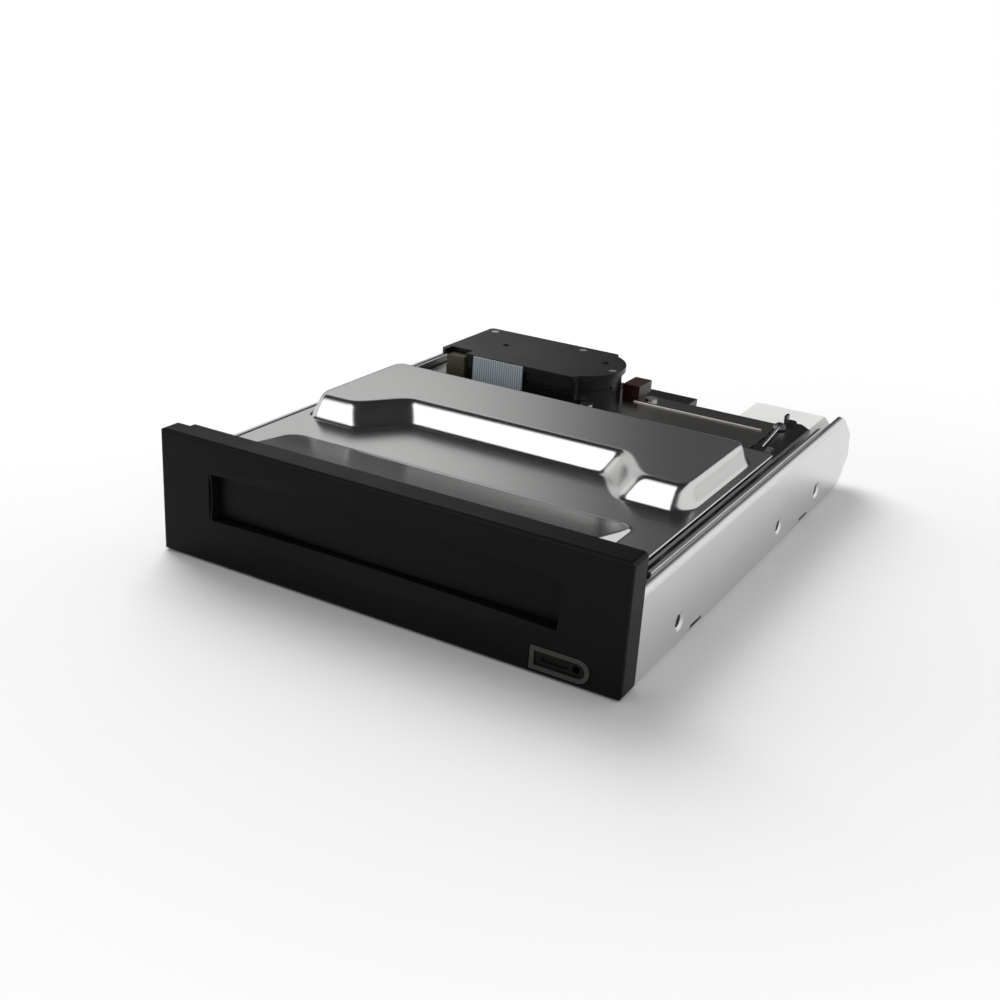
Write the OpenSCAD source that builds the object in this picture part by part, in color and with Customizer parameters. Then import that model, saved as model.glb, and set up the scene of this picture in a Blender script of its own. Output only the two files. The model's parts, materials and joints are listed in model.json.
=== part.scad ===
// Internal removable-cartridge disk drive for a standard 3.5 inch bay.
// Frame: X across the front panel, Y towards the rear, Z up. The origin is the middle of the
// underside. Inside the modules Y counts from the front panel's face, and seated() moves it home.
// All sizes are millimetres.

/* [Overall] */
// Width of the front panel and across the side rails
drive_w = 101.6; // [98:0.1:108]
// Depth from the panel's face to the rear of the side rails
drive_l = 128.5; // [126:0.5:150]

/* [Front panel] */
// Height of the front panel
panel_h = 25.8; // [25.4:0.1:30]
// Thickness of the panel's front wall
panel_t = 3; // [2.8:0.1:3.4]
// Depth of the panel with its rim
panel_d = 5.8; // [5.2:0.1:7]
// Thickness of the rim's walls
panel_wall = 0.8; // [0.6:0.1:0.9]
// Radius of the panel's outer edges
panel_r = 1; // [0.5:0.1:1.4]
// Length of the finger scoop
scoop_w = 77; // [76.4:0.1:80]
// Height of the finger scoop at its middle
scoop_h = 17; // [15:0.5:18]
// Depth of the finger scoop at its middle
scoop_d = 1.6; // [1:0.1:1.8]

/* [Cartridge slot and door] */
// Width of the slot
slot_w = 76; // [70:0.5:76]
// Height of the slot
slot_h = 9.6; // [8.6:0.1:9.7]
// Height of the slot's sill above the underside
slot_z = 9.6; // [9.6:0.1:10]
// Thickness of the door flap
flap_t = 1; // [0.8:0.1:1.2]
// Radius of the door's hinge pins
door_pin_r = 0.4; // [0.3:0.05:0.5]

/* [Eject button] */
// Width of the button's well
button_w = 12; // [10:0.5:12.5]
// Height of the button's well
button_h = 5; // [4.4:0.1:5.2]
// Distance that the button travels
button_travel = 1.2; // [0.6:0.1:1.2]

/* [Side rails and pan] */
// Height of the side rails
rail_h = 18.6; // [17.6:0.1:18.8]
// Thickness of the pan's sheet
rail_t = 0.8; // [0.6:0.1:1]
// Outer bend radius of the pan
bend_r = 1.5; // [1.2:0.1:1.8]
// Core radius of the M3 mounting threads
thread_r = 1.25; // [1:0.05:1.5]
// Height of the side mounting holes
side_hole_z = 5.3; // [4.5:0.1:6.35]
// Distance from the panel's face to the first side hole
side_hole_y = 24; // [20:0.5:30]
// Spacing from the first to the second side hole
side_pitch_a = 54; // [48:0.5:60]
// Spacing from the second to the third side hole
side_pitch_b = 26; // [22:0.5:28]
// Spacing of the underside mounting holes across the drive
under_pitch_x = 76; // [70:0.5:78]
// Spacing of the underside mounting holes along the drive
under_pitch_y = 60; // [50:0.5:64]

/* [Top cover] */
// Thickness of the cover's sheet
cover_t = 0.6; // [0.5:0.05:0.7]
// Half width of the cover's lower level
cover_half = 46.7; // [46:0.1:46.8]
// Height of the plateau above the lower level
plateau_rise = 4.6; // [4:0.1:4.8]
// Half width of the plateau's top
plateau_half = 43.1; // [42:0.1:43.4]
// Where the plateau's middle begins, from the panel's face
plateau_y = 50; // [48:0.5:54]
// How far the plateau's wings reach in front of its middle
wing_reach = 9.8; // [6:0.1:11]
// Rear edge of the plateau's top, from the panel's face
plateau_rear = 71.5; // [70:0.5:73]
// Rear end of the door hump, from the panel's face
hump_rear = 27; // [24:0.5:29]
// Height of the hump's front above the lower level
hump_rise = 3.4; // [3:0.1:3.8]

/* [Gearbox] */
// Height of the gearbox's top above the underside
gearbox_top = 25.4; // [25.2:0.1:25.8]
// Module of the gear teeth
gear_m = 0.5; // [0.48:0.01:0.5]
// Teeth of the output wheel
output_n = 38; // [36:1:38]
// Teeth of the idler wheel
idler_n = 28; // [26:1:28]
// Teeth of each pinion
pinion_n = 12; // [12:1:13]

/* [Carriage] */
// Travel of the cartridge carriage
carriage_travel = 8; // [4:0.5:8]
// Where the carriage's rear wall rests, from the panel's face
carriage_y = 72; // [66:0.5:72]

/* [Head actuator] */
// Distance from the pivot to the heads' tips
arm_l = 37.8; // [34:0.2:38]
// Radius of the pivot bearing
pivot_r = 2.6; // [2.2:0.1:2.8]

/* [Hidden] */
$fn = 48;

// Shared clearances and overruns
over = 1;                 // how far a cut runs past what it cuts
seat_gap = 0.1;           // between parts that nearly touch
run_gap = 0.05;           // radial play of a shaft in its bore
slide_gap = 0.2;          // play around the door and the button
free_gap = 0.3;           // between a moving part and a fixed one
half_w = drive_w / 2;

// Heights of the stacked parts
board_z = 2.4;
board_t = 1.6;
plate_z = 6.4;
plate_t = 0.8;
plate_top = plate_z + plate_t;
slot_top = slot_z + slot_h;
slot_mid_z = slot_z + slot_h / 2;
cover_z = slot_top + seat_gap;
cover_top = cover_z + cover_t;
deck_t = 0.6;
deck_top = 17.6;
deck_z = deck_top - deck_t;

// Panel details
rim_notch_w = 3.9;        // the rim is cut back at the left end
rim_notch_d = 1.3;
flap_recess = 2.4;        // how far the flap lies behind the panel's face
flap_half = slot_w / 2 - slide_gap;
hinge_y = flap_recess + flap_t / 2;
hinge_rise = 1.1;         // height of the hinge line above the slot
hinge_z = slot_top + hinge_rise;
barrel_r = 0.8;
barrel_gap = 0.15;
pocket_y = hinge_y - barrel_r - barrel_gap;
pocket_half = flap_half + 2 * slide_gap;
ear_t = 2;
ear_r = 1.6;
pin_bite = 2;             // how far a hinge pin reaches into the flap
hook_w = 8;
hook_t = 1;
hook_l = 5;
hook_x = 24;
hook_nib = 0.7;
hook_z = rail_t + free_gap;

// Button details
button_inset = 11.8;      // middle of the button's well, from the panel's end
button_x = half_w - button_inset;
well_z = panel_wall;
button_mid_z = well_z + button_h / 2;
button_cap_t = 2.2;
flange_t = 0.6;
flange_out = 0.6;
stem_r = 1.5;
stem_end = 6;
stem_dx = -1.5;
groove_half_l = 2.7;
groove_half_h = 0.55;
groove_deep = 0.8;
groove_dx = -1;
pinhole_dx = 3.1;
pinhole_r = 0.7;
pinhole_x = button_x + pinhole_dx;
pinhole_z = button_mid_z - 0.2 * seat_gap;
ring_w = 0.9;             // width of the button's raised ring
ring_deep = 0.4;

// Small board behind the button
fboard_y = 9.4;
fboard_t = 1;
fboard_x0 = 30.5;
fboard_x1 = 46.6;
fboard_h = 7.6;
switch_w = 4;
switch_h = 3.4;
switch_body = 1.5;
plunger_r = 0.9;
plunger_l = fboard_y - switch_body - stem_end - button_travel - seat_gap;
led_w = 2;
led_h = 2.4;
led_l = 1.4;
led_x = 32.6;

// Release rod
rod_r = 0.8;
rod_y = 8;
rod_l = 76;
rod_clip_w = 2.6;
rod_clip_h = 3.6;
rod_clip_t = 2;
rod_clip_y = [30, 70];

// Tray details
tray_y = panel_d;
lip_w = 1.6;              // width of the rails' rolled lip
lip_half = half_w - lip_w;
rail_tail = 7.5;          // how far the rails run behind the pan
pan_end = drive_l - rail_tail;
rail_cut_top = 8.8;       // how far the rail's top corner is cut forward
rail_cut_low = 1.3;
rail_knee_z = 12.3;
rail_toe_z = 6.7;
collar_r = 2.4;
collar_l = 0.8;
dimple_r = 2;
dimple_d = 0.4;
side_slot_l = 5.4;
side_slot_h = 0.7;
side_slot_z = 1.2;
side_slot_y = [30, 93];
vent_w = 3;
vent_l = 16;
vent_pitch = 7;
vent_count = 7;
vent_y = 84;
under_y = 32;             // first row of underside holes
under_collar_l = 0.8;
boss_r = 2.2;
board_hole_x = 34;
board_hole_y = [20, 96];
board_bore_r = 0.9;

// Mechanism frame
frame_y0 = 12;
frame_y1 = 106;
frame_out = 49.1;
frame_t = 0.7;
frame_h = 19.2;
frame_hole_r = 2.6;
iso_x = 45.3;
iso_y = [18, 101];
iso_r = 2;
iso_neck_r = 1.5;
iso_screw_r = 0.8;
iso_head_r = 1.5;
iso_head_t = 0.8;
iso_flange_t = 0.8;
frame_window_w = 10;
frame_window_l = 11;
frame_window_y = [28, 44, 60];
frame_window_x = [-24, -8, 8, 24];

// Cartridge guides
guide_t = 0.6;
guide_in = 39.3;
guide_out = 47.6;
guide_floor_z = 9.4;
guide_floor_end = 80;
guide_end = 103;
latch_window_y = 73.5;    // the inner wall is low behind this, for the latch's nose

// Carriage
car_floor_top = slot_z - slide_gap;
car_floor_t = 1.2;
car_front = 30;
car_wall_in = 38.2;
car_wall_t = 0.8;
car_wall_front = 44;
car_wall_h = 7.6;
car_rear_t = 1.2;
car_runner_x = 30;
car_runner_w = 3;
car_window_x0 = -3;
car_window_x1 = 36.5;
contact_window_x0 = -35;
contact_window_x1 = -22;
contact_window_z0 = 10.4;
contact_window_h = 5.6;
rack_z = 12.6;
rack_h = 3.8;
rack_bar_w = 2.6;
rack_end = 7.5;           // how far the bar runs behind the pinion
rack_weld = 0.2;

// Top cover
cover_y0 = 6.2;
cover_y1 = 81;
cover_r = 1.5;
flank_run = 3.3;          // how far the front flank slopes
side_run = 1.7;
rear_run = 3;
s_inner = 24;             // the front edge turns between these half widths
s_outer = 35;
s_foot_shift = 2.6;
plateau_corner = 3;
plateau_edge = 0.5;
flange_drop = 5.3;        // height of the cover's side flanges
flange_y0 = 14;
flange_y1 = 79;
hump_half = 37.4;
hump_foot = 2;
edge_steps = 30;
turn_steps = 9;
corner_steps = 5;
cover_screw_y = [24, 76];
cover_screw_z = 16.4;
cover_screw_r = 0.7;
cover_head_r = 1.4;
cover_head_t = 0.45;

// Rear deck
deck_y0 = 82;
deck_y1 = 107.5;
deck_left = -46.4;
deck_right = 39;
deck_leg_t = 0.6;
deck_leg_h = 7;
bead_y = 100.7;
bead_r = 0.5;
bead_x0 = 5;
bead_x1 = 37;
deck_rear_drop = 3;
deck_screw_r = 0.8;
deck_head_r = 1.5;
deck_head_t = 0.7;
deck_post_r = 1.8;
deck_screw_at = [[-43.4, 86], [-43.4, 104.4], [8, 104], [30, 84.4]];

// Latch corner
bracket_x0 = 39.5;
bracket_x1 = 46.3;
bracket_y0 = guide_floor_end + 2 * seat_gap;
bracket_y1 = 111;
bracket_cut = 3;
bracket_screw_at = [41, 109.2];
bracket_post_at = [44.3, 84.9];
tab_w = 0.6;
tab_l = 2;
tab_h = 2;
tab_at = [39.6, 108.6];
lever_at = [44, 82.2];
lever_gap = 0.2;
lever_t = 0.7;
lever_r = 1.6;
lever_nose = [-3.4, -5.4];
lever_tail = [-0.4, 5.6];
lever_tip_r = 0.8;
lever_half = 0.6;
lever_pin_r = 0.6;
lever_head_r = 1.1;
lever_head_t = 0.4;
spring_wire_r = 0.35;
spring_from = [40.2, 103.8];
spring_to = [41.7, 87.5];
spring_post_r = 0.7;
spring_post_h = 1.6;

// Gearbox
box_x0 = -40.5;
box_y0 = 85.4;
box_y1 = 110;
box_wall = 0.9;
box_inset = 0.8;
box_floor_t = 0.8;
box_lid_t = 1.4;
box_lid_z = gearbox_top - box_lid_t;
box_floor_top = deck_top + box_floor_t;
box_end_r = (box_y1 - box_y0) / 2;
box_end_x = -10;
box_mid_y = box_y0 + box_end_r;
box_groove_z = 21.2;
box_groove_h = 0.6;
box_groove_d = 0.35;
box_notch_x0 = -39.2;
box_notch_x1 = -33.2;
box_notch_y = 88.6;
box_corner = 1.2;
box_boss_r = 1.1;
box_boss_h = 3;
box_bore_r = 0.5;
box_screw_at = [[-12.9, 107.6], [-38.2, 107.6], [0.6, 96.4]];
box_hole_at = [[-29.6, 98.3], [-3.4, 101]];
box_hole_r = 0.8;
box_hole_d = 0.9;
box_head_r = 0.95;
box_head_t = 0.35;
ear_at = [-1.25, 87.5];    // flange ear with the bright screw
ear_out_r = 2.1;

// Gears
pressure_a = 20;
lash = 0.09;              // thinning of each tooth at the pitch line
tip_share = 0.8;          // addendum as a share of the module
root_share = 1.25;        // dedendum as a share of the module
output_at = [-10.4, 97.7];
idler_dir = 168;
motor_dir = 218;
pinion_pr = gear_m * pinion_n / 2;
output_pr = gear_m * output_n / 2;
idler_pr = gear_m * idler_n / 2;
idler_at = output_at + (output_pr + pinion_pr) * [cos(idler_dir), sin(idler_dir)];
motor_at = idler_at + (idler_pr + pinion_pr) * [cos(motor_dir), sin(motor_dir)];
rack_x = output_at[0] - pinion_pr;
rack_face = rack_x - root_share * gear_m;
output_wheel_z = 19;
output_wheel_t = 1.6;
output_hub_r = 2.2;
output_shaft_r = 1.8;
output_pinion_z = 12.8;
output_pinion_t = 3.4;
output_pin_r = 0.8;
idler_pinion_z = 18.7;
idler_wheel_z = 22.1;
idler_wheel_t = 1.4;
idler_pin_r = 0.6;
motor_can_r = 6.2;
motor_can_h = 3.2;
motor_boss_r = 2;
motor_boss_h = 0.2;
motor_shaft_r = 0.5;
motor_shaft_l = 2.2;
motor_pinion_gap = 0.1;
motor_pinion_t = 1.8;

// Pieces round the gearbox
lswitch_x0 = -38.6;
lswitch_w = 4.8;
lswitch_y0 = 85.6;
lswitch_d = 2.6;
lswitch_top = 24.2;
ribbon_x0 = -31;
ribbon_w = 13.6;
ribbon_y = 85;
ribbon_t = 0.3;
ribbon_top = 25.2;
plug_x0 = 0.6;
plug_w = 4.4;
plug_y0 = 103.2;
plug_h = 3;
plug_wall = 0.6;
plug_bite = 3;

// Head actuator
pivot_at = [36, 95];
arm_z = 13.6;
arm_t = 1.6;
hub_r = 3.7;
arm_reach = 20;
arm_root_half = 3;
arm_tip_half = 1.4;
coil_r0 = 4.9;
coil_r1 = 10.2;
coil_half_a = 17;
coil_wall = 1.3;
coil_z = 13.4;
coil_t = 1.9;
fork_a = 4.5;
susp_t = 0.3;
susp_from = 15;
susp_half = 1.1;
slider_l = 1.2;
slider_w = 1;
slider_t = 0.3;
slider_back = 2.4;
bearing_z = 12.8;
bearing_l = 3;
post_r = 1.3;
post_top = 16.9;
yoke_r0 = 4.4;
yoke_r1 = 10.6;
yoke_a0 = -24;
yoke_a1 = 72;
yoke_z = 9.4;
yoke_t = 1.2;
magnet_t = 2.1;
magnet_inset = 0.4;
upper_yoke_z = 15.9;
upper_yoke_t = 1;
stand_r = 1.1;
stand_at_r = 9.6;
stand_a = [-33, 81];
ramp_x0 = -5.8;
ramp_x1 = 1;
ramp_half = 2;
ramp_post_w = 2.6;
ramp_t = 0.6;
ramp_mid_z = 14.4;

// Contact block for the cartridge
contact_y0 = 82.1;
contact_d = 2.5;
contact_h = 8.4;
contact_inset = 0.6;
finger_w = 0.7;
finger_pitch = 1.8;
finger_count = 6;
finger_out = 0.25;
finger_h = 3;
finger_z = 11.6;

// Main board and what it carries
board_half = 40;
board_wide = 47;
board_y0 = 14;
board_wide_y = 106.5;
board_inset = 1.5;
board_y1 = pan_end - board_inset;
board_r = 1;
board_screw_r = 0.8;
board_head_r = 1.6;
board_head_t = 0.8;
chip_h = 1.4;
chip_at = [[-18, 52, 20, 20], [14, 58, 14, 14], [-22, 82, 12, 8], [20, 34, 10, 16], [6, 84, 9, 6]];
cap_r = 1.6;
cap_h = 2;
cap_at = [[30, 70], [30, 76], [-33, 40], [-33, 46], [26, 92]];

// Rear connectors
con_end = drive_l - 1.2;
data_x0 = -46.6;
data_w = 57.6;
data_h = 8.8;
data_d = 9.4;
data_wall = 1.2;
data_floor_t = 1.6;
data_key_w = 4.4;
pin_pitch = 2.54;
pin_side = 0.64;
pin_l = 13;
data_cols = 20;
jumper_x0 = 13;
jumper_cols = 4;
jumper_h = 5.2;
jumper_d = 3.4;
jumper_post_l = 5;
power_x0 = 24.6;
power_w = 21.6;
power_h = 11.4;
power_d = 14;
power_wall = 1.2;
power_floor_t = 3;
power_cut = 2.2;
power_pitch = 5.08;
power_pin_r = 1.05;
power_pin_l = 12.5;
power_pins_n = 4;

// Moves a child from the panel-face frame to the origin under the middle of the drive
module seated() translate([0, -drive_l / 2, 0]) children();

// Flat rectangle with round corners, its lower left corner at the origin
module round_rect(w, h, r) {
    translate([r, 0]) square([w - 2 * r, h]);
    translate([0, r]) square([w, h - 2 * r]);
    for (x = [r, w - r], y = [r, h - r]) translate([x, y]) circle(r);
}

// Extrudes a child drawn in (Y, Z) along X from x0 to x1
module along_x(x0, x1) translate([x0, 0, 0]) rotate([90, 0, 90]) linear_extrude(height = x1 - x0) children();

// Extrudes a child drawn in (X, Z) along Y from y0 to y1
module along_y(y0, y1) translate([0, y1, 0]) rotate([90, 0, 0]) linear_extrude(height = y1 - y0) children();

// Round bar along X or Y
module rod_x(x0, x1, r) translate([x0, 0, 0]) rotate([0, 90, 0]) cylinder(h = x1 - x0, r = r);
module rod_y(y0, y1, r) translate([0, y0, 0]) rotate([-90, 0, 0]) cylinder(h = y1 - y0, r = r);

// Block given by its lowest corner and its highest corner
module block(a, b) translate(a) cube(b - a);

// Pill outline centred on the origin, flat at its left end and round at its right end
module pill(w, h) {
    translate([-w / 2, -h / 2]) square([w - h / 2, h]);
    translate([w / 2 - h / 2, 0]) circle(h / 2);
}

// Slot outline centred on the origin, round at both ends
module stadium(w, h) {
    translate([-w / 2 + h / 2, -h / 2]) square([w - h, h]);
    for (s = [-1, 1]) translate([s * (w - h) / 2, 0]) circle(h / 2);
}

// Ring sector between two radii and two angles
function arc_pts(r, a0, a1, n) = [for (k = [0:n]) r * [cos(a0 + (a1 - a0) * k / n), sin(a0 + (a1 - a0) * k / n)]];
module sector(r0, r1, a0, a1) polygon(concat(arc_pts(r1, a0, a1, edge_steps), arc_pts(r0, a1, a0, edge_steps)));

// Front panel
scoop_big = (pow(scoop_h / 2, 2) / scoop_d + scoop_d) / 2;
scoop_back = scoop_big - scoop_d;
scoop_end = sqrt(pow(scoop_back, 2) + pow(slot_h / 2, 2));
scoop_sag = scoop_big - scoop_end;
scoop_arc = (pow(scoop_w / 2, 2) + pow(scoop_sag, 2)) / (2 * scoop_sag);

module scoop() {
    translate([0, -scoop_back, slot_mid_z]) rotate([0, 90, 0])
    rotate_extrude($fn = 120) intersection() {
        translate([scoop_big - scoop_arc, 0]) circle(scoop_arc, $fn = 240);
        translate([0, -scoop_w / 2]) square([2 * scoop_big, scoop_w]);
    }
}

module panel_blank() {
    intersection() {
        linear_extrude(height = panel_h)
            translate([-half_w, 0]) round_rect(drive_w, panel_d + 2 * panel_r, panel_r);
        along_x(-half_w, half_w) round_rect(panel_d + 2 * panel_r, panel_h, panel_r);
        along_y(0, panel_d)
            translate([-half_w, 0]) round_rect(drive_w, panel_h, panel_r);
    }
}

module bezel() {
    seated() color([0.06, 0.06, 0.065]) {
        difference() {
            panel_blank();
            block([-half_w + 2 * panel_wall, panel_t, panel_wall],
                  [half_w - 2 * panel_wall, panel_d + over, panel_h - 2 * panel_wall]);
            block([-half_w - over, panel_d - rim_notch_d, panel_wall],
                  [-half_w + rim_notch_w, panel_d + over, panel_h + over]);
            scoop();
            block([-slot_w / 2, -over, slot_z], [slot_w / 2, panel_t + over, slot_top]);
            block([-pocket_half, pocket_y, slot_top - slide_gap],
                  [pocket_half, panel_t + over, hinge_z + barrel_r + free_gap]);
            translate([0, hinge_y, hinge_z]) rod_x(-pocket_half - ear_t, pocket_half + ear_t, door_pin_r);
            translate([button_x, 0, button_mid_z]) along_y(-over, panel_t + over) pill(button_w, button_h);
        }
        for (s = [-1, 1]) difference() {
            union() {
                translate([0, hinge_y, hinge_z])
                    rod_x(s > 0 ? pocket_half : -pocket_half - ear_t, s > 0 ? pocket_half + ear_t : -pocket_half, ear_r);
                block([s > 0 ? pocket_half : -pocket_half - ear_t, panel_t - seat_gap, hinge_z - ear_r],
                      [s > 0 ? pocket_half + ear_t : -pocket_half, hinge_y + ear_r, hinge_z]);
            }
            translate([0, hinge_y, hinge_z]) rod_x(-half_w, half_w, door_pin_r);
            scoop();
        }
        for (s = [-1, 1]) {
            block([s * hook_x - hook_w / 2, panel_t - seat_gap, hook_z],
                  [s * hook_x + hook_w / 2, panel_d + hook_l, hook_z + hook_t]);
            block([s * hook_x - hook_w / 2, panel_d + hook_l - hook_t, hook_z - hook_nib],
                  [s * hook_x + hook_w / 2, panel_d + hook_l, hook_z + hook_t / 2]);
        }
    }
}

// Door flap, its barrel along its upper edge
module door_flap() {
    seated() color([0.05, 0.05, 0.055]) difference() {
        union() {
            block([-flap_half, flap_recess, slot_z + slide_gap], [flap_half, flap_recess + flap_t, hinge_z]);
            translate([0, hinge_y, hinge_z]) rod_x(-flap_half, flap_half, barrel_r);
        }
        translate([0, hinge_y, hinge_z]) rod_x(-half_w, half_w, door_pin_r + run_gap);
        block([door_spring_x - run_gap, pocket_y - over, hinge_z - 2 * barrel_r],
              [door_spring_x + door_spring_l + run_gap, panel_t + over, hinge_z + 2 * barrel_r]);
    }
}

// Two steel pins held in the panel's ears; the left one is long and carries the spring
door_spring_x = -36;
door_spring_l = 4;
module door_pins() {
    seated() color("silver") translate([0, hinge_y, hinge_z]) {
        rod_x(-pocket_half - ear_t, door_spring_x + door_spring_l + pin_bite, door_pin_r);
        rod_x(flap_half - pin_bite, pocket_half + ear_t, door_pin_r);
    }
}

// Return spring round the left pin, inside a gap of the barrel
module door_spring() {
    spring_r = barrel_r - barrel_gap;
    seated() color("silver") translate([0, hinge_y, hinge_z]) difference() {
        rod_x(door_spring_x + seat_gap, door_spring_x + door_spring_l - seat_gap, spring_r);
        rod_x(-half_w, half_w, door_pin_r + run_gap);
    }
}

// Eject button: a smoky pill with a raised ring, a groove and a pin hole
module eject_button() {
    cap_w = button_w - 2 * slide_gap;
    cap_h = button_h - 2 * slide_gap;
    seated() color([0.16, 0.16, 0.15, 0.9]) difference() {
        union() {
            translate([button_x, 0, button_mid_z]) {
                along_y(0, button_cap_t + over) pill(cap_w, cap_h);
                along_y(panel_t + seat_gap, panel_t + seat_gap + flange_t) pill(cap_w, cap_h);
            }
            block([button_x - cap_w / 2 - flange_out, panel_t + seat_gap, button_mid_z - cap_h / 2],
                  [button_x + cap_w / 2 + flange_out, panel_t + seat_gap + flange_t,
                   button_mid_z + cap_h / 2 + flange_out]);
            translate([button_x + stem_dx, 0, button_mid_z]) rod_y(button_cap_t, stem_end, stem_r);
        }
        translate([button_x, 0, button_mid_z])
            along_y(-over, ring_deep)
            pill(cap_w - 2 * ring_w, cap_h - 2 * ring_w);
        translate([button_x + groove_dx, 0, button_mid_z])
            along_y(-over, groove_deep)
            stadium(2 * groove_half_l, 2 * groove_half_h);
        translate([pinhole_x, 0, pinhole_z]) rod_y(-over, stem_end, pinhole_r);
    }
}

module button_switch() {
    seated() color([0.12, 0.12, 0.12]) translate([button_x + stem_dx, 0, button_mid_z]) {
        block([-switch_w / 2, fboard_y - switch_body, -switch_h / 2], [switch_w / 2, fboard_y, switch_h / 2]);
        rod_y(fboard_y - switch_body - plunger_l, fboard_y, plunger_r);
    }
}

module front_board() {
    seated() color([0.05, 0.25, 0.12]) difference() {
        block([fboard_x0, fboard_y, rail_t], [fboard_x1, fboard_y + fboard_t, rail_t + fboard_h]);
        translate([pinhole_x, 0, pinhole_z]) rod_y(fboard_y - over, fboard_y + fboard_t + over, rod_r + free_gap);
    }
}

module status_led() {
    seated() color([0.85, 0.9, 0.8]) translate([led_x, 0, button_mid_z]) {
        block([-led_w / 2, fboard_y - led_l + led_w / 2, -led_h / 2], [led_w / 2, fboard_y, led_h / 2]);
        rod_y(fboard_y - led_l, fboard_y, led_w / 2);
    }
}

// Push rod behind the pin hole
module release_rod() {
    seated() color("silver") translate([pinhole_x, 0, pinhole_z]) {
        rod_y(rod_y, rod_y + rod_l, rod_r);
        rod_y(rod_y + rod_l - rod_clip_t, rod_y + rod_l, rod_r + free_gap);
    }
}

// Outer tray: pan and side rails bent from one sheet
module tray_section() {
    difference() {
        translate([-half_w, 0]) round_rect(drive_w, rail_h, bend_r);
        translate([-half_w + rail_t, rail_t])
            round_rect(drive_w - 2 * rail_t, rail_h - 2 * rail_t, bend_r - rail_t);
        translate([-lip_half, rail_t]) square([2 * lip_half, rail_h]);
    }
}

module tray_outline() {
    polygon([
        [tray_y, 0], [pan_end, 0], [drive_l, rail_toe_z], [drive_l - rail_cut_low, rail_knee_z],
        [drive_l - rail_cut_top, rail_h], [tray_y, rail_h]
    ]);
}

side_holes = [side_hole_y, side_hole_y + side_pitch_a, side_hole_y + side_pitch_a + side_pitch_b];

module outer_tray() {
    seated() color([0.75, 0.76, 0.77]) difference() {
        union() {
            intersection() {
                along_y(tray_y, drive_l) tray_section();
                along_x(-half_w, half_w) tray_outline();
            }
            for (s = [-1, 1], y = side_holes) translate([0, y, side_hole_z])
                rod_x(s > 0 ? half_w - rail_t - collar_l : -half_w + seat_gap,
                      s > 0 ? half_w - seat_gap : -half_w + rail_t + collar_l, collar_r);
            for (x = [-under_pitch_x / 2, under_pitch_x / 2], y = [under_y, under_y + under_pitch_y])
                translate([x, y, 0]) cylinder(h = rail_t + under_collar_l, r = collar_r);
            for (x = [-board_hole_x, board_hole_x], y = board_hole_y)
                translate([x, y, 0]) cylinder(h = board_z, r = boss_r);
            for (x = [-iso_x, iso_x], y = iso_y) translate([x, y, 0]) cylinder(h = board_z, r = iso_neck_r);
            for (y = rod_clip_y)
                block([pinhole_x - rod_clip_w / 2, y - rod_clip_t / 2, rail_t / 2],
                      [pinhole_x + rod_clip_w / 2, y + rod_clip_t / 2, rail_t + rod_clip_h]);
        }
        for (s = [-1, 1], y = side_holes) translate([0, y, side_hole_z]) {
            rod_x(s > 0 ? half_w - 2 * collar_l - over : -half_w - over,
                  s > 0 ? half_w + over : -half_w + 2 * collar_l + over, thread_r);
            translate([s * half_w, 0, 0]) rotate([0, -s * 90, 0])
                cylinder(h = dimple_d, r1 = dimple_r, r2 = thread_r);
        }
        for (x = [-under_pitch_x / 2, under_pitch_x / 2], y = [under_y, under_y + under_pitch_y])
            translate([x, y, -over]) cylinder(h = board_z + over, r = thread_r);
        for (x = [-board_hole_x, board_hole_x], y = board_hole_y)
            translate([x, y, -over]) cylinder(h = board_z + 2 * over, r = board_bore_r);
        for (x = [-iso_x, iso_x], y = iso_y) translate([x, y, -over]) cylinder(h = plate_z, r = iso_screw_r);
        for (s = [-1, 1], y = side_slot_y)
            block([s > 0 ? half_w - bend_r : -half_w - over, y, side_slot_z],
                  [s > 0 ? half_w + over : -half_w + bend_r, y + side_slot_l, side_slot_z + side_slot_h]);
        for (s = [-1, 1])
            block([s * hook_x - hook_w / 2 - slide_gap, panel_d + hook_l - hook_t - slide_gap, -over],
                  [s * hook_x + hook_w / 2 + slide_gap, panel_d + hook_l + slide_gap, rail_t + over]);
        for (k = [0:vent_count - 1])
            block([(k - (vent_count - 1) / 2) * vent_pitch - vent_w / 2, vent_y, -over],
                  [(k - (vent_count - 1) / 2) * vent_pitch + vent_w / 2, vent_y + vent_l, rail_t + over]);
        for (y = rod_clip_y) translate([pinhole_x, 0, pinhole_z])
            rod_y(y - rod_clip_t, y + rod_clip_t, rod_r + run_gap);
    }
}

// Inner frame: a plate with two side walls, floating on four isolators
module mechanism_frame() {
    seated() color([0.7, 0.71, 0.72]) difference() {
        union() {
            block([-frame_out, frame_y0, plate_z], [frame_out, frame_y1, plate_top]);
            for (s = [-1, 1])
                block([s > 0 ? frame_out - frame_t : -frame_out, frame_y0, plate_z],
                      [s > 0 ? frame_out : -frame_out + frame_t, frame_y1, frame_h]);
        }
        for (x = [-iso_x, iso_x], y = iso_y)
            translate([x, y, plate_z - over]) cylinder(h = plate_t + 2 * over, r = iso_neck_r);
        for (y = side_holes) translate([0, y, plate_top + frame_hole_r])
            rod_x(-half_w, half_w, frame_hole_r);
        for (x = frame_window_x, y = frame_window_y)
            block([x - frame_window_w / 2, y - frame_window_l / 2, plate_z - over],
                  [x + frame_window_w / 2, y + frame_window_l / 2, plate_top + over]);
    }
}

module isolators() {
    seated() color([0.08, 0.08, 0.08])
    for (x = [-iso_x, iso_x], y = iso_y) translate([x, y, 0]) difference() {
        union() {
            translate([0, 0, board_z]) cylinder(h = plate_z - board_z, r = iso_r);
            translate([0, 0, board_z]) cylinder(h = plate_top - board_z, r = iso_neck_r);
            translate([0, 0, plate_top]) cylinder(h = iso_flange_t, r = iso_r - run_gap);
        }
        cylinder(h = plate_top + over + iso_flange_t, r = iso_screw_r + run_gap);
    }
}

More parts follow.
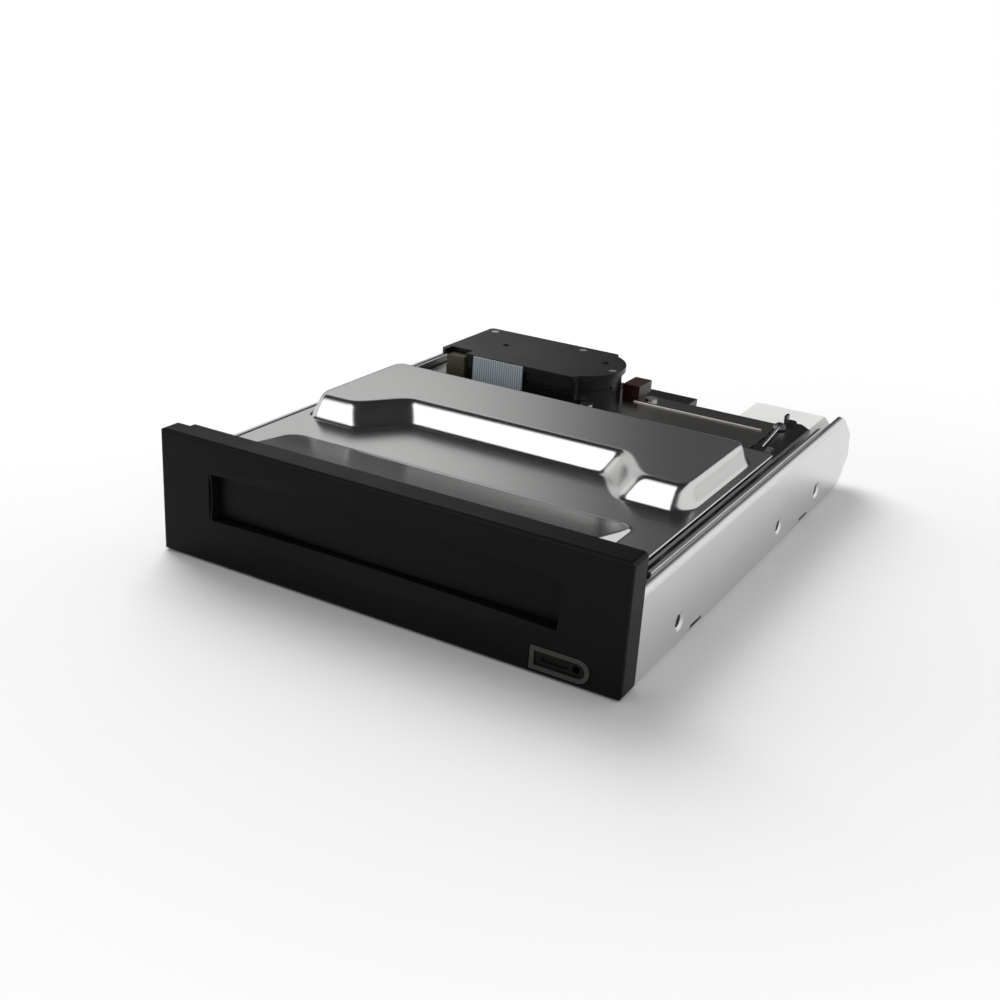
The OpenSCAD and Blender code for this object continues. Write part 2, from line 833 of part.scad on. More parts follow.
module isolator_screws() {
    seated() color("silver")
    for (x = [-iso_x, iso_x], y = iso_y) translate([x, y, 0]) {
        translate([0, 0, seat_gap]) cylinder(h = plate_top + iso_flange_t - seat_gap, r = iso_screw_r);
        translate([0, 0, plate_top + iso_flange_t]) cylinder(h = iso_head_t, r = iso_head_r);
    }
}

// Circuit board, wider at the connectors
module main_board() {
    seated() color([0.05, 0.3, 0.14]) difference() {
        translate([0, 0, board_z]) linear_extrude(height = board_t) {
            translate([-board_half, board_y0]) round_rect(2 * board_half, board_y1 - board_y0, board_r);
            translate([-board_wide, board_wide_y]) round_rect(2 * board_wide, board_y1 - board_wide_y, board_r);
        }
        for (x = [-board_hole_x, board_hole_x], y = board_hole_y)
            translate([x, y, board_z - over]) cylinder(h = board_t + 2 * over, r = board_screw_r + run_gap);
        for (s = [-1, 1])
            block([s * hook_x - hook_w / 2 - free_gap, board_y0 - over, board_z - over],
                  [s * hook_x + hook_w / 2 + free_gap, board_y0, board_z + board_t + over]);
    }
}

module board_screws() {
    seated() color("silver")
    for (x = [-board_hole_x, board_hole_x], y = board_hole_y) translate([x, y, 0]) {
        translate([0, 0, seat_gap]) cylinder(h = board_z + board_t - seat_gap, r = board_screw_r);
        translate([0, 0, board_z + board_t]) cylinder(h = board_head_t, r = board_head_r);
    }
}

module board_chips() {
    seated() color([0.1, 0.1, 0.1])
    for (c = chip_at) translate([c[0] - c[2] / 2, c[1] - c[3] / 2, board_z + board_t]) cube([c[2], c[3], chip_h]);
}

module board_capacitors() {
    seated() color([0.75, 0.55, 0.2])
    for (c = cap_at) translate([c[0], c[1], board_z + board_t]) cylinder(h = cap_h, r = cap_r);
}

// Shrouded 40-way data header
con_z = board_z + board_t;
data_mid_z = con_z + data_h / 2;
module data_connector() {
    seated() color([0.07, 0.07, 0.07]) difference() {
        block([data_x0, con_end - data_d, con_z], [data_x0 + data_w, con_end, con_z + data_h]);
        block([data_x0 + data_wall, con_end - data_d + data_floor_t, con_z + data_wall],
              [data_x0 + data_w - data_wall, con_end + over, con_z + data_h - data_wall]);
        block([data_x0 + data_w / 2 - data_key_w / 2, con_end - data_d + data_floor_t, con_z + data_h / 2],
              [data_x0 + data_w / 2 + data_key_w / 2, con_end + over, con_z + data_h + over]);
        for (k = [0:data_cols - 1], r = [-1, 1])
            translate([data_x0 + data_w / 2 + (k - (data_cols - 1) / 2) * pin_pitch - pin_side / 2,
                       con_end - data_d - over, data_mid_z + r * pin_pitch / 2 - pin_side / 2])
            cube([pin_side, data_d + 2 * over, pin_side]);
    }
}

module data_pins() {
    seated() color("gold")
    for (k = [0:data_cols - 1], r = [-1, 1])
        translate([data_x0 + data_w / 2 + (k - (data_cols - 1) / 2) * pin_pitch - pin_side / 2,
                   con_end - free_gap - over - pin_l + data_wall, data_mid_z + r * pin_pitch / 2 - pin_side / 2])
        cube([pin_side, pin_l - data_wall, pin_side]);
}

// Four-way power socket with two cut corners
module power_outline(inset) {
    w = power_w - 2 * inset;
    h = power_h - 2 * inset;
    polygon([
        [0, 0], [w, 0], [w, h - power_cut], [w - power_cut, h], [power_cut, h], [0, h - power_cut]
    ]);
}

module power_connector() {
    seated() color([0.9, 0.9, 0.86]) difference() {
        along_y(con_end - power_d, con_end) translate([power_x0, con_z]) power_outline(0);
        along_y(con_end - power_d + power_floor_t, con_end + over)
            translate([power_x0 + power_wall, con_z + power_wall]) power_outline(power_wall);
        for (k = [0:power_pins_n - 1])
            translate([power_x0 + power_w / 2 + (k - (power_pins_n - 1) / 2) * power_pitch, 0, con_z + power_h / 2])
            rod_y(con_end - power_d - over, con_end, power_pin_r);
    }
}

module power_pins() {
    seated() color("silver")
    for (k = [0:power_pins_n - 1])
        translate([power_x0 + power_w / 2 + (k - (power_pins_n - 1) / 2) * power_pitch, 0, con_z + power_h / 2])
        rod_y(con_end - power_pin_l - over, con_end - over, power_pin_r);
}

// Jumper header: a low block with two rows of posts, and a cap on one pair
module jumper_block() {
    y0 = con_end - data_d;
    y1 = y0 + jumper_d;
    seated() {
        color([0.07, 0.07, 0.07])
            block([jumper_x0, y0, con_z], [jumper_x0 + jumper_cols * pin_pitch, y1, con_z + jumper_h]);
        color("gold") for (k = [0:jumper_cols - 1], r = [-1, 1])
            translate([jumper_x0 + (k + 1 / 2) * pin_pitch - pin_side / 2, y1 - seat_gap,
                       con_z + jumper_h / 2 + r * pin_pitch / 2 - pin_side / 2])
            cube([pin_side, jumper_post_l, pin_side]);
        color([0.1, 0.2, 0.6])
            block([jumper_x0 + seat_gap, y1 + seat_gap, con_z + seat_gap],
                  [jumper_x0 + pin_pitch - seat_gap, y1 + jumper_post_l, con_z + jumper_h - seat_gap]);
    }
}

// Cartridge guides: bent channels standing on the inner frame. s is the side, 1 on the right
module guide(s) {
    mirror([s > 0 ? 0 : 1, 0, 0]) seated() color([0.78, 0.79, 0.8]) difference() {
        union() {
            block([guide_in, frame_y0, plate_top], [guide_in + guide_t, guide_floor_end, rail_h]);
            block([guide_in, frame_y0, guide_floor_z], [guide_out, guide_floor_end, guide_floor_z + guide_t]);
            block([guide_out - guide_t, frame_y0, guide_floor_z], [guide_out, guide_end, cover_z]);
        }
        block([guide_in - over, latch_window_y, deck_top],
              [guide_in + guide_t + over, guide_floor_end + over, rail_h + over]);
        for (y = cover_screw_y) translate([0, y, cover_screw_z])
            rod_x(guide_out - 2 * guide_t, guide_out + over, cover_screw_r + run_gap);
    }
}
module left_guide() guide(-1);
module right_guide() guide(1);

// Carriage: floor, side walls, rear wall with windows, and the rack
pitch = PI * gear_m;
rack_teeth = [-ceil(carriage_travel / pitch) - 1:2];
module rack_tooth() {
    tip = tip_share * gear_m;
    root = root_share * gear_m;
    half = pitch / 4 - lash / 2;
    lean = tan(pressure_a);
    polygon([
        [-root - rack_weld, -half - root * lean], [-root, -half - root * lean], [tip, -half + tip * lean],
        [tip, half - tip * lean], [-root, half + root * lean], [-root - rack_weld, half + root * lean]
    ]);
}

module carriage() {
    seated() color([0.13, 0.13, 0.14]) difference() {
        union() {
            block([-car_wall_in - car_wall_t, car_front, car_floor_top - car_floor_t],
                  [car_wall_in + car_wall_t, carriage_y + car_rear_t, car_floor_top]);
            for (x = [-car_runner_x, car_runner_x])
                block([x - car_runner_w / 2, car_front, plate_top + run_gap],
                      [x + car_runner_w / 2, carriage_y, car_floor_top - car_floor_t / 2]);
            for (s = [-1, 1])
                block([s > 0 ? car_wall_in : -car_wall_in - car_wall_t, car_wall_front, car_floor_top - car_floor_t],
                      [s > 0 ? car_wall_in + car_wall_t : -car_wall_in, carriage_y + car_rear_t,
                       car_floor_top + car_wall_h]);
            block([-car_wall_in - car_wall_t, carriage_y, car_floor_top - car_floor_t],
                  [car_wall_in + car_wall_t, carriage_y + car_rear_t, car_floor_top + car_wall_h]);
            block([rack_face - rack_bar_w, carriage_y, rack_z],
                  [rack_face, output_at[1] + rack_end, rack_z + rack_h]);
            for (k = rack_teeth)
                translate([rack_x, output_at[1] + k * pitch, rack_z]) linear_extrude(height = rack_h) rack_tooth();
        }
        block([car_window_x0, carriage_y - over, car_floor_top],
              [car_window_x1, carriage_y + car_rear_t + over, car_floor_top + car_wall_h + over]);
        block([contact_window_x0, carriage_y - over, contact_window_z0],
              [contact_window_x1, carriage_y + car_rear_t + over, contact_window_z0 + contact_window_h]);
    }
}

// Top cover. A level outline runs round the plateau: d is the inset from its top outline
// towards its foot, with 0 at the top and 1 at the foot, and g shrinks it by the sheet's thickness.
function turn_shift(d, g) = s_foot_shift * d - g;
function front_y(u, d, g) = plateau_y - flank_run * d + g - wing_reach * (1 - cos(180 * u)) / 2;
function turn_pts(s, d, g) = [
    for (k = [0:turn_steps]) let(u = (s < 0 ? turn_steps - k : k) / turn_steps)
    [s * (s_inner - turn_shift(d, g) + u * (s_outer - s_inner)), front_y(u, d, g)]
];

function plateau_pts(d, g) = let(
        half = plateau_half + side_run * d - g,
        rear = plateau_rear + rear_run * d - g,
        r = plateau_corner,
        split = s_inner - turn_shift(d, g),
        wing = front_y(1, d, g)
    ) concat(
        [[split, rear], [-split, rear]],
        [for (p = arc_pts(r, 90, 180, corner_steps)) [-half + r, rear - r] + p],
        [for (p = arc_pts(r, 180, 270, corner_steps)) [-half + r, wing + r] + p],
        turn_pts(-1, d, g), turn_pts(1, d, g),
        [for (p = arc_pts(r, 270, 360, corner_steps)) [half - r, wing + r] + p],
        [for (p = arc_pts(r, 0, 90, corner_steps)) [half - r, rear - r] + p]
    );
left_turn_end = 3 + 2 * corner_steps + turn_steps + 1;
plateau_n = 6 + 4 * corner_steps + 2 * turn_steps + 2;

// The level outline as convex faces: a fan at each side of the middle
plateau_caps = concat(
    [[0, 1, left_turn_end, left_turn_end + 1]],
    [for (k = [2:left_turn_end - 1]) [1, k, k + 1]],
    [for (k = [left_turn_end + 1:plateau_n - 2]) [0, k, k + 1]]
);

// Solid lofted through level outlines: a list of [height, points], and the faces of its two ends
module loft(levels, caps) {
    n = len(levels[0][1]);
    m = len(levels);
    polyhedron(
        points = [for (l = levels) for (p = l[1]) [p[0], p[1], l[0]]],
        faces = concat(
            caps,
            [for (j = [0:m - 2], k = [0:n - 1]) [j * n + k, (j + 1) * n + k, (j + 1) * n + (k + 1) % n]],
            [for (j = [0:m - 2], k = [0:n - 1]) [j * n + k, (j + 1) * n + (k + 1) % n, j * n + (k + 1) % n]],
            [for (f = caps) [for (k = [len(f) - 1:-1:0]) (m - 1) * n + f[k]]]
        )
    );
}

plateau_top = cover_top + plateau_rise;
edge_share = plateau_edge / plateau_rise;

// The raised sheet: down the inner side from its ceiling, round the foot and up the outer side
module plateau() loft([
    [plateau_top - cover_t, plateau_pts(edge_share, cover_t)],
    [cover_z, plateau_pts(1, cover_t)],
    [cover_z, plateau_pts(1, 0)],
    [cover_z + cover_t / 2, plateau_pts(1, 0)],
    [plateau_top - plateau_edge, plateau_pts(edge_share, 0)],
    [plateau_top, plateau_pts(0, plateau_edge / 2)]
], plateau_caps);

// Wedge over the door: high at the panel, running out towards the plateau. It starts at height low
// and at front, and drop lowers its slope, for the hollow below the sheet.
module hump(low, front, drop) {
    slope = hump_rise / (hump_rear - cover_y0);
    high = cover_top - drop + slope * (hump_rear - front);
    y_end = front + (high - low) / slope;
    half = hump_half - drop / 2;
    foot = half + (high - low) * hump_foot / hump_rise;
    polyhedron(
        points = [
            [-foot, front, low], [foot, front, low], [foot, y_end, low], [-foot, y_end, low],
            [-half, front, high], [half, front, high]
        ],
        faces = [[0, 1, 2, 3], [0, 4, 5, 1], [1, 5, 2], [3, 4, 0], [2, 5, 4, 3]]
    );
}

module top_cover() {
    seated() color([0.72, 0.72, 0.72]) {
        difference() {
            union() {
                translate([-cover_half, cover_y0, cover_z]) linear_extrude(height = cover_t)
                    round_rect(2 * cover_half, cover_y1 - cover_y0, cover_r);
                hump(cover_z + cover_t / 2, cover_y0, 0);
            }
            hump(cover_z - over, cover_y0 - over, cover_t);
            translate([0, 0, cover_z - over]) linear_extrude(height = cover_t + 2 * over)
                polygon(plateau_pts(1, cover_t / 2));
        }
        plateau();
        for (s = [-1, 1]) difference() {
            block([s > 0 ? cover_half - cover_t : -cover_half, flange_y0, cover_z - flange_drop],
                  [s > 0 ? cover_half : -cover_half + cover_t, flange_y1, cover_z + cover_t / 2]);
            for (y = cover_screw_y) translate([0, y, cover_screw_z])
                rod_x(-cover_half - over, cover_half + over, cover_screw_r);
        }
    }
}

module cover_screws() {
    seated() color("silver") for (s = [0, 1], y = cover_screw_y) mirror([s, 0, 0]) translate([0, y, cover_screw_z]) {
        rod_x(cover_half - cover_t, guide_out, cover_screw_r);
        rod_x(guide_out, guide_out + cover_head_t, cover_head_r);
    }
}

// Rear deck over the actuator and the rack, with a bead and legs
module rear_deck() {
    seated() color([0.45, 0.45, 0.44]) difference() {
        union() {
            block([deck_left, deck_y0, deck_z], [deck_right, deck_y1, deck_top]);
            block([deck_left, deck_y0, deck_top - deck_leg_h], [deck_left + deck_leg_t, deck_y1 - deck_leg_t, deck_top]);
            block([deck_left, deck_y1 - deck_leg_t, deck_z - deck_rear_drop], [deck_right, deck_y1, deck_top]);
            for (p = deck_screw_at) translate([p[0], p[1], plate_top])
                cylinder(h = deck_z - plate_top + deck_t / 2, r = deck_post_r);
            translate([0, bead_y, deck_top]) intersection() {
                rod_x(bead_x0, bead_x1, bead_r);
                block([bead_x0, -bead_r, -deck_t / 2], [bead_x1, bead_r, bead_r]);
            }
        }
        translate([output_at[0], output_at[1], deck_z - over])
            cylinder(h = deck_t + 2 * over, r = pinion_pr + gear_m + free_gap);
        for (p = deck_screw_at) translate([p[0], p[1], plate_top - over])
            cylinder(h = deck_top, r = deck_screw_r);
        block([ribbon_x0 - free_gap, ribbon_y - free_gap, deck_z - over],
              [ribbon_x0 + ribbon_w + free_gap, ribbon_y + ribbon_t + free_gap, deck_top + over]);
        block([rack_face - rack_bar_w - free_gap, deck_y1 - 2 * deck_leg_t, deck_z - deck_rear_drop - over],
              [rack_x + gear_m + free_gap, deck_y1 + over, rack_z + rack_h + free_gap]);
    }
}

module deck_screws() {
    seated() color("silver") for (p = deck_screw_at) translate([p[0], p[1], 0]) {
        translate([0, 0, plate_top + seat_gap]) cylinder(h = deck_top - plate_top - seat_gap, r = deck_screw_r);
        translate([0, 0, deck_top]) cylinder(h = deck_head_t, r = deck_head_r);
    }
}

// Dark bracket at the rear right corner, with its tab and its screw
module latch_bracket() {
    seated() color([0.3, 0.3, 0.3]) {
        difference() {
            translate([0, 0, deck_z]) linear_extrude(height = deck_t) polygon([
                [bracket_x0, bracket_y0 + bracket_cut], [bracket_x0 + bracket_cut, bracket_y0],
                [bracket_x1, bracket_y0], [bracket_x1, bracket_y1 - bracket_cut],
                [bracket_x1 - bracket_cut, bracket_y1], [bracket_x0, bracket_y1]
            ]);
            translate([lever_at[0], lever_at[1], deck_z - over]) cylinder(h = deck_t + 2 * over, r = lever_pin_r);
        }
        translate([bracket_post_at[0], bracket_post_at[1], plate_top])
            cylinder(h = deck_z - plate_top + deck_t / 2, r = lever_head_r);
        translate([bracket_screw_at[0], bracket_screw_at[1], deck_z - deck_rear_drop])
            cylinder(h = deck_rear_drop + deck_t / 2, r = lever_head_r);
        translate([bracket_screw_at[0], bracket_screw_at[1], deck_top - deck_t / 2])
            cylinder(h = deck_t / 2 + deck_head_t, r = deck_head_r);
        block([tab_at[0], tab_at[1], deck_top - deck_t / 2],
              [tab_at[0] + tab_w, tab_at[1] + tab_l, deck_top + tab_h]);
        translate([spring_from[0], spring_from[1], deck_top - deck_t / 2])
            cylinder(h = deck_t / 2 + spring_post_h, r = spring_post_r);
    }
}

// Catch lever: a hub with a nose and a tail
lever_z = deck_top + lever_gap;
module lever_arm(to) {
    len_to = norm(to);
    rotate([0, 0, atan2(to[1], to[0])]) translate([0, -lever_half, 0]) cube([len_to, 2 * lever_half, lever_t]);
    translate([to[0], to[1], 0]) cylinder(h = lever_t, r = lever_tip_r);
}

module latch_lever() {
    seated() color([0.6, 0.6, 0.6]) translate([lever_at[0], lever_at[1], lever_z]) difference() {
        union() {
            cylinder(h = lever_t, r = lever_r);
            lever_arm(lever_nose);
            lever_arm(lever_tail);
        }
        translate([0, 0, -over]) cylinder(h = lever_t + 2 * over, r = lever_pin_r + run_gap);
    }
}

module latch_pin() {
    seated() color("silver") translate([lever_at[0], lever_at[1], 0]) {
        translate([0, 0, deck_z]) cylinder(h = lever_z + lever_t + lever_gap - deck_z, r = lever_pin_r);
        translate([0, 0, lever_z + lever_t + lever_gap]) cylinder(h = lever_head_t, r = lever_head_r);
    }
}

// Straight wire spring from its post to beside the lever's tail
module wire_spring() {
    run = spring_to - spring_from;
    z = deck_top + spring_post_h / 2;
    seated() color("silver") difference() {
        union() {
            translate([spring_from[0], spring_from[1], z])
                rotate([0, 0, atan2(run[1], run[0])]) rod_x(0, norm(run), spring_wire_r);
            translate([spring_from[0], spring_from[1], z - spring_wire_r])
                cylinder(h = 2 * spring_wire_r, r = spring_post_r + 2 * spring_wire_r);
        }
        translate([spring_from[0], spring_from[1], deck_z])
            cylinder(h = 2 * spring_post_h + deck_t, r = spring_post_r);
    }
}

// Gear outlines with involute flanks
function inv(a) = tan(a) - a * PI / 180;
function flank_half(r, n) = let(
        rb = gear_m * n / 2 * cos(pressure_a),
        a = r > rb ? acos(rb / r) : 0
    ) 90 / n + (inv(pressure_a) - inv(a) - lash / (gear_m * n)) * 180 / PI;

function gear_radii(n) = let(
        rb = gear_m * n / 2 * cos(pressure_a),
        rf = gear_m * (n / 2 - root_share),
        ra = gear_m * (n / 2 + tip_share),
        r0 = max(rb, rf)
    ) [rf, r0 + (ra - r0) * 0.02, r0 + (ra - r0) / 3, r0 + (ra - r0) * 2 / 3, ra];

module gear_outline(n, phase) {
    radii = gear_radii(n);
    last = len(radii) - 1;
    polygon([for (k = [0:n - 1], s = [-1, 1], j = [0:last])
        let(r = radii[s < 0 ? j : last - j], a = phase + 360 * k / n + s * flank_half(r, n)) r * [cos(a), sin(a)]
    ]);
}

// Output gear: wheel above the deck, pinion on the rack below it
module output_gear() {
    seated() color([0.85, 0.85, 0.8]) translate([output_at[0], output_at[1], 0]) difference() {
        union() {
            translate([0, 0, output_wheel_z]) linear_extrude(height = output_wheel_t) gear_outline(output_n, idler_dir);
            translate([0, 0, output_pinion_z]) linear_extrude(height = output_pinion_t)
                gear_outline(pinion_n, 180 + 180 / pinion_n);
            translate([0, 0, output_pinion_z]) cylinder(h = output_wheel_z - output_pinion_z, r = output_shaft_r);
            translate([0, 0, output_wheel_z]) cylinder(h = box_lid_z - slide_gap - output_wheel_z, r = output_hub_r);
        }
        translate([0, 0, plate_top]) cylinder(h = gearbox_top, r = output_pin_r + run_gap);
    }
}

module idler_gear() {
    seated() color([0.9, 0.88, 0.8]) translate([idler_at[0], idler_at[1], 0]) difference() {
        union() {
            translate([0, 0, idler_pinion_z]) linear_extrude(height = idler_wheel_z - idler_pinion_z)
                gear_outline(pinion_n, idler_dir + 180 + 180 / pinion_n);
            translate([0, 0, idler_wheel_z]) linear_extrude(height = idler_wheel_t) gear_outline(idler_n, motor_dir);
        }
        translate([0, 0, deck_top]) cylinder(h = gearbox_top, r = idler_pin_r + run_gap);
    }
}

motor_top = box_floor_top + motor_can_h;
module motor_pinion() {
    z = motor_top + motor_boss_h + motor_pinion_gap;
    seated() color([0.8, 0.65, 0.3]) translate([motor_at[0], motor_at[1], 0]) {
        translate([0, 0, z]) linear_extrude(height = motor_pinion_t)
            gear_outline(pinion_n, motor_dir + 180 + 180 / pinion_n);
        translate([0, 0, motor_top - motor_shaft_l]) cylinder(h = z - motor_top + motor_shaft_l, r = motor_shaft_r);
    }
}

module load_motor() {
    seated() color([0.7, 0.7, 0.7]) translate([motor_at[0], motor_at[1], box_floor_top]) difference() {
        union() {
            cylinder(h = motor_can_h, r = motor_can_r);
            cylinder(h = motor_can_h + motor_boss_h, r = motor_boss_r);
        }
        translate([0, 0, motor_can_h - motor_shaft_l]) cylinder(h = motor_shaft_l + over, r = motor_shaft_r + run_gap);
    }
}

module gear_pins() {
    seated() color("silver") {
        translate([output_at[0], output_at[1], plate_top]) cylinder(h = box_lid_z - plate_top, r = output_pin_r);
        translate([idler_at[0], idler_at[1], box_floor_top])
            cylinder(h = box_lid_z - box_floor_top, r = idler_pin_r);
    }
}

// Gearbox outline, inset by g: a rectangle with a round right end
module box_outline(g) {
    translate([box_x0 + g, box_y0 + g])
        round_rect(box_end_x - box_x0 - g + box_end_r / 2, box_y1 - box_y0 - 2 * g, box_corner);
    translate([box_end_x, box_mid_y]) circle(box_end_r - g, $fn = 96);
}

module gearbox_base() {
    seated() color([0.05, 0.05, 0.05]) difference() {
        union() {
            translate([0, 0, deck_top]) linear_extrude(height = box_floor_t) box_outline(box_inset);
            difference() {
                translate([0, 0, deck_top]) linear_extrude(height = box_lid_z - deck_top) box_outline(box_inset);
                translate([0, 0, box_floor_top]) linear_extrude(height = gearbox_top) box_outline(box_inset + box_wall);
                translate([0, 0, box_groove_z]) linear_extrude(height = box_groove_h) difference() {
                    box_outline(-over);
                    box_outline(box_inset + box_groove_d);
                }
            }
            translate([ear_at[0], ear_at[1], deck_top]) cylinder(h = box_floor_t, r = ear_out_r);
            intersection() {
                translate([0, 0, deck_top]) linear_extrude(height = gearbox_top) box_outline(box_inset);
                for (p = box_screw_at) translate([p[0], p[1], box_lid_z - box_boss_h])
                    cylinder(h = box_boss_h, r = box_boss_r);
            }
        }
        translate([output_at[0], output_at[1], deck_top - over])
            cylinder(h = box_floor_t + 2 * over, r = pinion_pr + gear_m + free_gap);
        for (p = box_screw_at) translate([p[0], p[1], box_lid_z - box_boss_h - over])
            cylinder(h = box_boss_h + 2 * over, r = box_bore_r);
        block([box_notch_x0, box_y0 - over, box_floor_top], [box_notch_x1, box_notch_y, gearbox_top]);
        translate([ear_at[0], ear_at[1], deck_top - over]) cylinder(h = box_floor_t + 2 * over, r = box_bore_r);
    }
}

module gearbox_cover() {
    seated() color([0.07, 0.07, 0.07]) difference() {
        translate([0, 0, box_lid_z]) linear_extrude(height = box_lid_t) box_outline(0);
        block([box_notch_x0, box_y0 - over, box_lid_z - over], [box_notch_x1, box_notch_y, gearbox_top + over]);
        for (p = box_screw_at) translate([p[0], p[1], box_lid_z - over]) cylinder(h = box_lid_t + 2 * over, r = box_bore_r);
        for (p = box_screw_at) translate([p[0], p[1], gearbox_top - box_head_t])
            cylinder(h = box_head_t + over, r = box_head_r + run_gap);
        for (p = box_hole_at) translate([p[0], p[1], gearbox_top - box_hole_d])
            cylinder(h = box_hole_d + over, r = box_hole_r);
    }
}

module gearbox_screws() {
    seated() color("silver") {
        for (p = box_screw_at) translate([p[0], p[1], 0]) {
            translate([0, 0, box_lid_z - box_boss_h + seat_gap])
                cylinder(h = box_boss_h + box_lid_t - box_head_t - seat_gap, r = box_bore_r);
            translate([0, 0, gearbox_top - box_head_t]) cylinder(h = box_head_t - seat_gap / 2, r = box_head_r);
        }
        translate([ear_at[0], ear_at[1], deck_top]) cylinder(h = box_floor_t, r = box_bore_r);
        translate([ear_at[0], ear_at[1], box_floor_top]) cylinder(h = deck_head_t, r = deck_head_r);
    }
}

module limit_switch() {
    seated() color([0.42, 0.4, 0.3])
        block([lswitch_x0, lswitch_y0, box_floor_top], [lswitch_x0 + lswitch_w, lswitch_y0 + lswitch_d, lswitch_top]);
}

// Flat flexible lead that rises in front of the gearbox
module ribbon_tail() {
    seated() color([0.72, 0.8, 0.86])
        block([ribbon_x0, ribbon_y, plate_top], [ribbon_x0 + ribbon_w, ribbon_y + ribbon_t, ribbon_top]);
}

// Two-way plug of the motor's lead, hollow at its rear
module motor_plug() {
    seated() color([0.35, 0.05, 0.06]) difference() {
        block([plug_x0, plug_y0, deck_top], [plug_x0 + plug_w, deck_y1 + plug_bite, deck_top + plug_h]);
        for (k = [0, 1])
            block([plug_x0 + plug_wall + k * (plug_w - plug_wall) / 2, deck_y1, deck_top + plug_wall],
                  [plug_x0 + (k + 1) * (plug_w - plug_wall) / 2, deck_y1 + plug_bite + over,
                   deck_top + plug_h - plug_wall]);
    }
}

// Head actuator, drawn round its pivot with the arm towards -X: hub, arm and the coil's two fingers
module actuator_arm() {
    seated() color([0.8, 0.8, 0.82]) translate([pivot_at[0], pivot_at[1], arm_z]) difference() {
        union() {
            cylinder(h = arm_t, r = hub_r);
            linear_extrude(height = arm_t) polygon([
                [0, -arm_root_half], [-arm_reach, -arm_tip_half], [-arm_reach, arm_tip_half], [0, arm_root_half]
            ]);
            linear_extrude(height = arm_t) sector(hub_r - free_gap, coil_r1, coil_half_a, coil_half_a + fork_a);
            linear_extrude(height = arm_t) sector(hub_r - free_gap, coil_r1, -coil_half_a - fork_a, -coil_half_a);
        }
        translate([0, 0, -over]) cylinder(h = arm_t + 2 * over, r = pivot_r + run_gap);
    }
}

module voice_coil() {
    seated() color([0.72, 0.4, 0.2]) translate([pivot_at[0], pivot_at[1], coil_z])
    linear_extrude(height = coil_t) difference() {
        sector(coil_r0, coil_r1, -coil_half_a, coil_half_a);
        sector(coil_r0 + coil_wall, coil_r1 - coil_wall, -coil_half_a / 2, coil_half_a / 2);
    }
}

// Two leaf springs with a slider each, facing each other
module head_suspensions() {
    seated() color("silver") translate([pivot_at[0], pivot_at[1], arm_z + arm_t / 2])
    for (s = [0, 1]) mirror([0, 0, s]) {
        translate([0, 0, arm_t / 2]) linear_extrude(height = susp_t) polygon([
            [-susp_from, -susp_half], [-arm_l, -susp_half / 2], [-arm_l, susp_half / 2], [-susp_from, susp_half]
        ]);
        block([-arm_l + slider_back - slider_l, -slider_w / 2, arm_t / 2 - slider_t],
              [-arm_l + slider_back, slider_w / 2, arm_t / 2]);
    }
}

module pivot_post() {
    seated() color("silver") translate([pivot_at[0], pivot_at[1], plate_top])
        cylinder(h = post_top - plate_top, r = post_r);
}

module pivot_bearing() {
    seated() color([0.6, 0.6, 0.62]) translate([pivot_at[0], pivot_at[1], bearing_z]) difference() {
        cylinder(h = bearing_l, r = pivot_r);
        translate([0, 0, -over]) cylinder(h = bearing_l + 2 * over, r = post_r);
    }
}

module lower_yoke() {
    seated() color([0.75, 0.75, 0.76]) translate([pivot_at[0], pivot_at[1], 0]) {
        translate([0, 0, yoke_z]) linear_extrude(height = yoke_t) sector(yoke_r0, yoke_r1, yoke_a0, yoke_a1);
        translate([0, 0, yoke_z + seat_gap]) linear_extrude(height = yoke_t - 2 * seat_gap)
            sector(stand_at_r - stand_r, stand_at_r + stand_r / 2, stand_a[0], stand_a[1]);
        for (a = stand_a) rotate([0, 0, a]) translate([stand_at_r, 0, plate_top])
            cylinder(h = upper_yoke_z - plate_top, r = stand_r);
    }
}

module upper_yoke() {
    seated() color([0.75, 0.75, 0.76]) translate([pivot_at[0], pivot_at[1], upper_yoke_z])
    linear_extrude(height = upper_yoke_t) {
        sector(yoke_r0, yoke_r1, stand_a[0], stand_a[1]);
        for (a = stand_a) rotate([0, 0, a]) translate([stand_at_r, 0]) circle(stand_r);
    }
}

module magnet() {
    seated() color([0.55, 0.56, 0.58]) translate([pivot_at[0], pivot_at[1], yoke_z + yoke_t])
    linear_extrude(height = magnet_t)
        sector(yoke_r0 + magnet_inset, yoke_r1 - magnet_inset, yoke_a0, yoke_a1);
}

// Ramp that holds the parked heads apart
module load_ramp() {
    seated() color([0.85, 0.82, 0.7]) translate([0, pivot_at[1], 0]) {
        block([ramp_x0, -ramp_half, plate_top], [ramp_x0 + ramp_post_w, ramp_half, ramp_mid_z + ramp_t]);
        block([ramp_x0, -ramp_half, ramp_mid_z - ramp_t / 2], [ramp_x1, ramp_half, ramp_mid_z + ramp_t / 2]);
    }
}

// Contact block that meets the cartridge's rear contacts
module contact_block() {
    x0 = contact_window_x0 + contact_inset;
    x1 = contact_window_x1 - contact_inset;
    seated() {
        color([0.85, 0.85, 0.8]) block([x0, contact_y0, plate_top], [x1, contact_y0 + contact_d, plate_top + contact_h]);
        color("gold") for (k = [0:finger_count - 1])
            translate([(x0 + x1) / 2 + (k - (finger_count - 1) / 2) * finger_pitch - finger_w / 2,
                       contact_y0 - finger_out, finger_z])
            cube([finger_w, finger_out, finger_h]);
    }
}

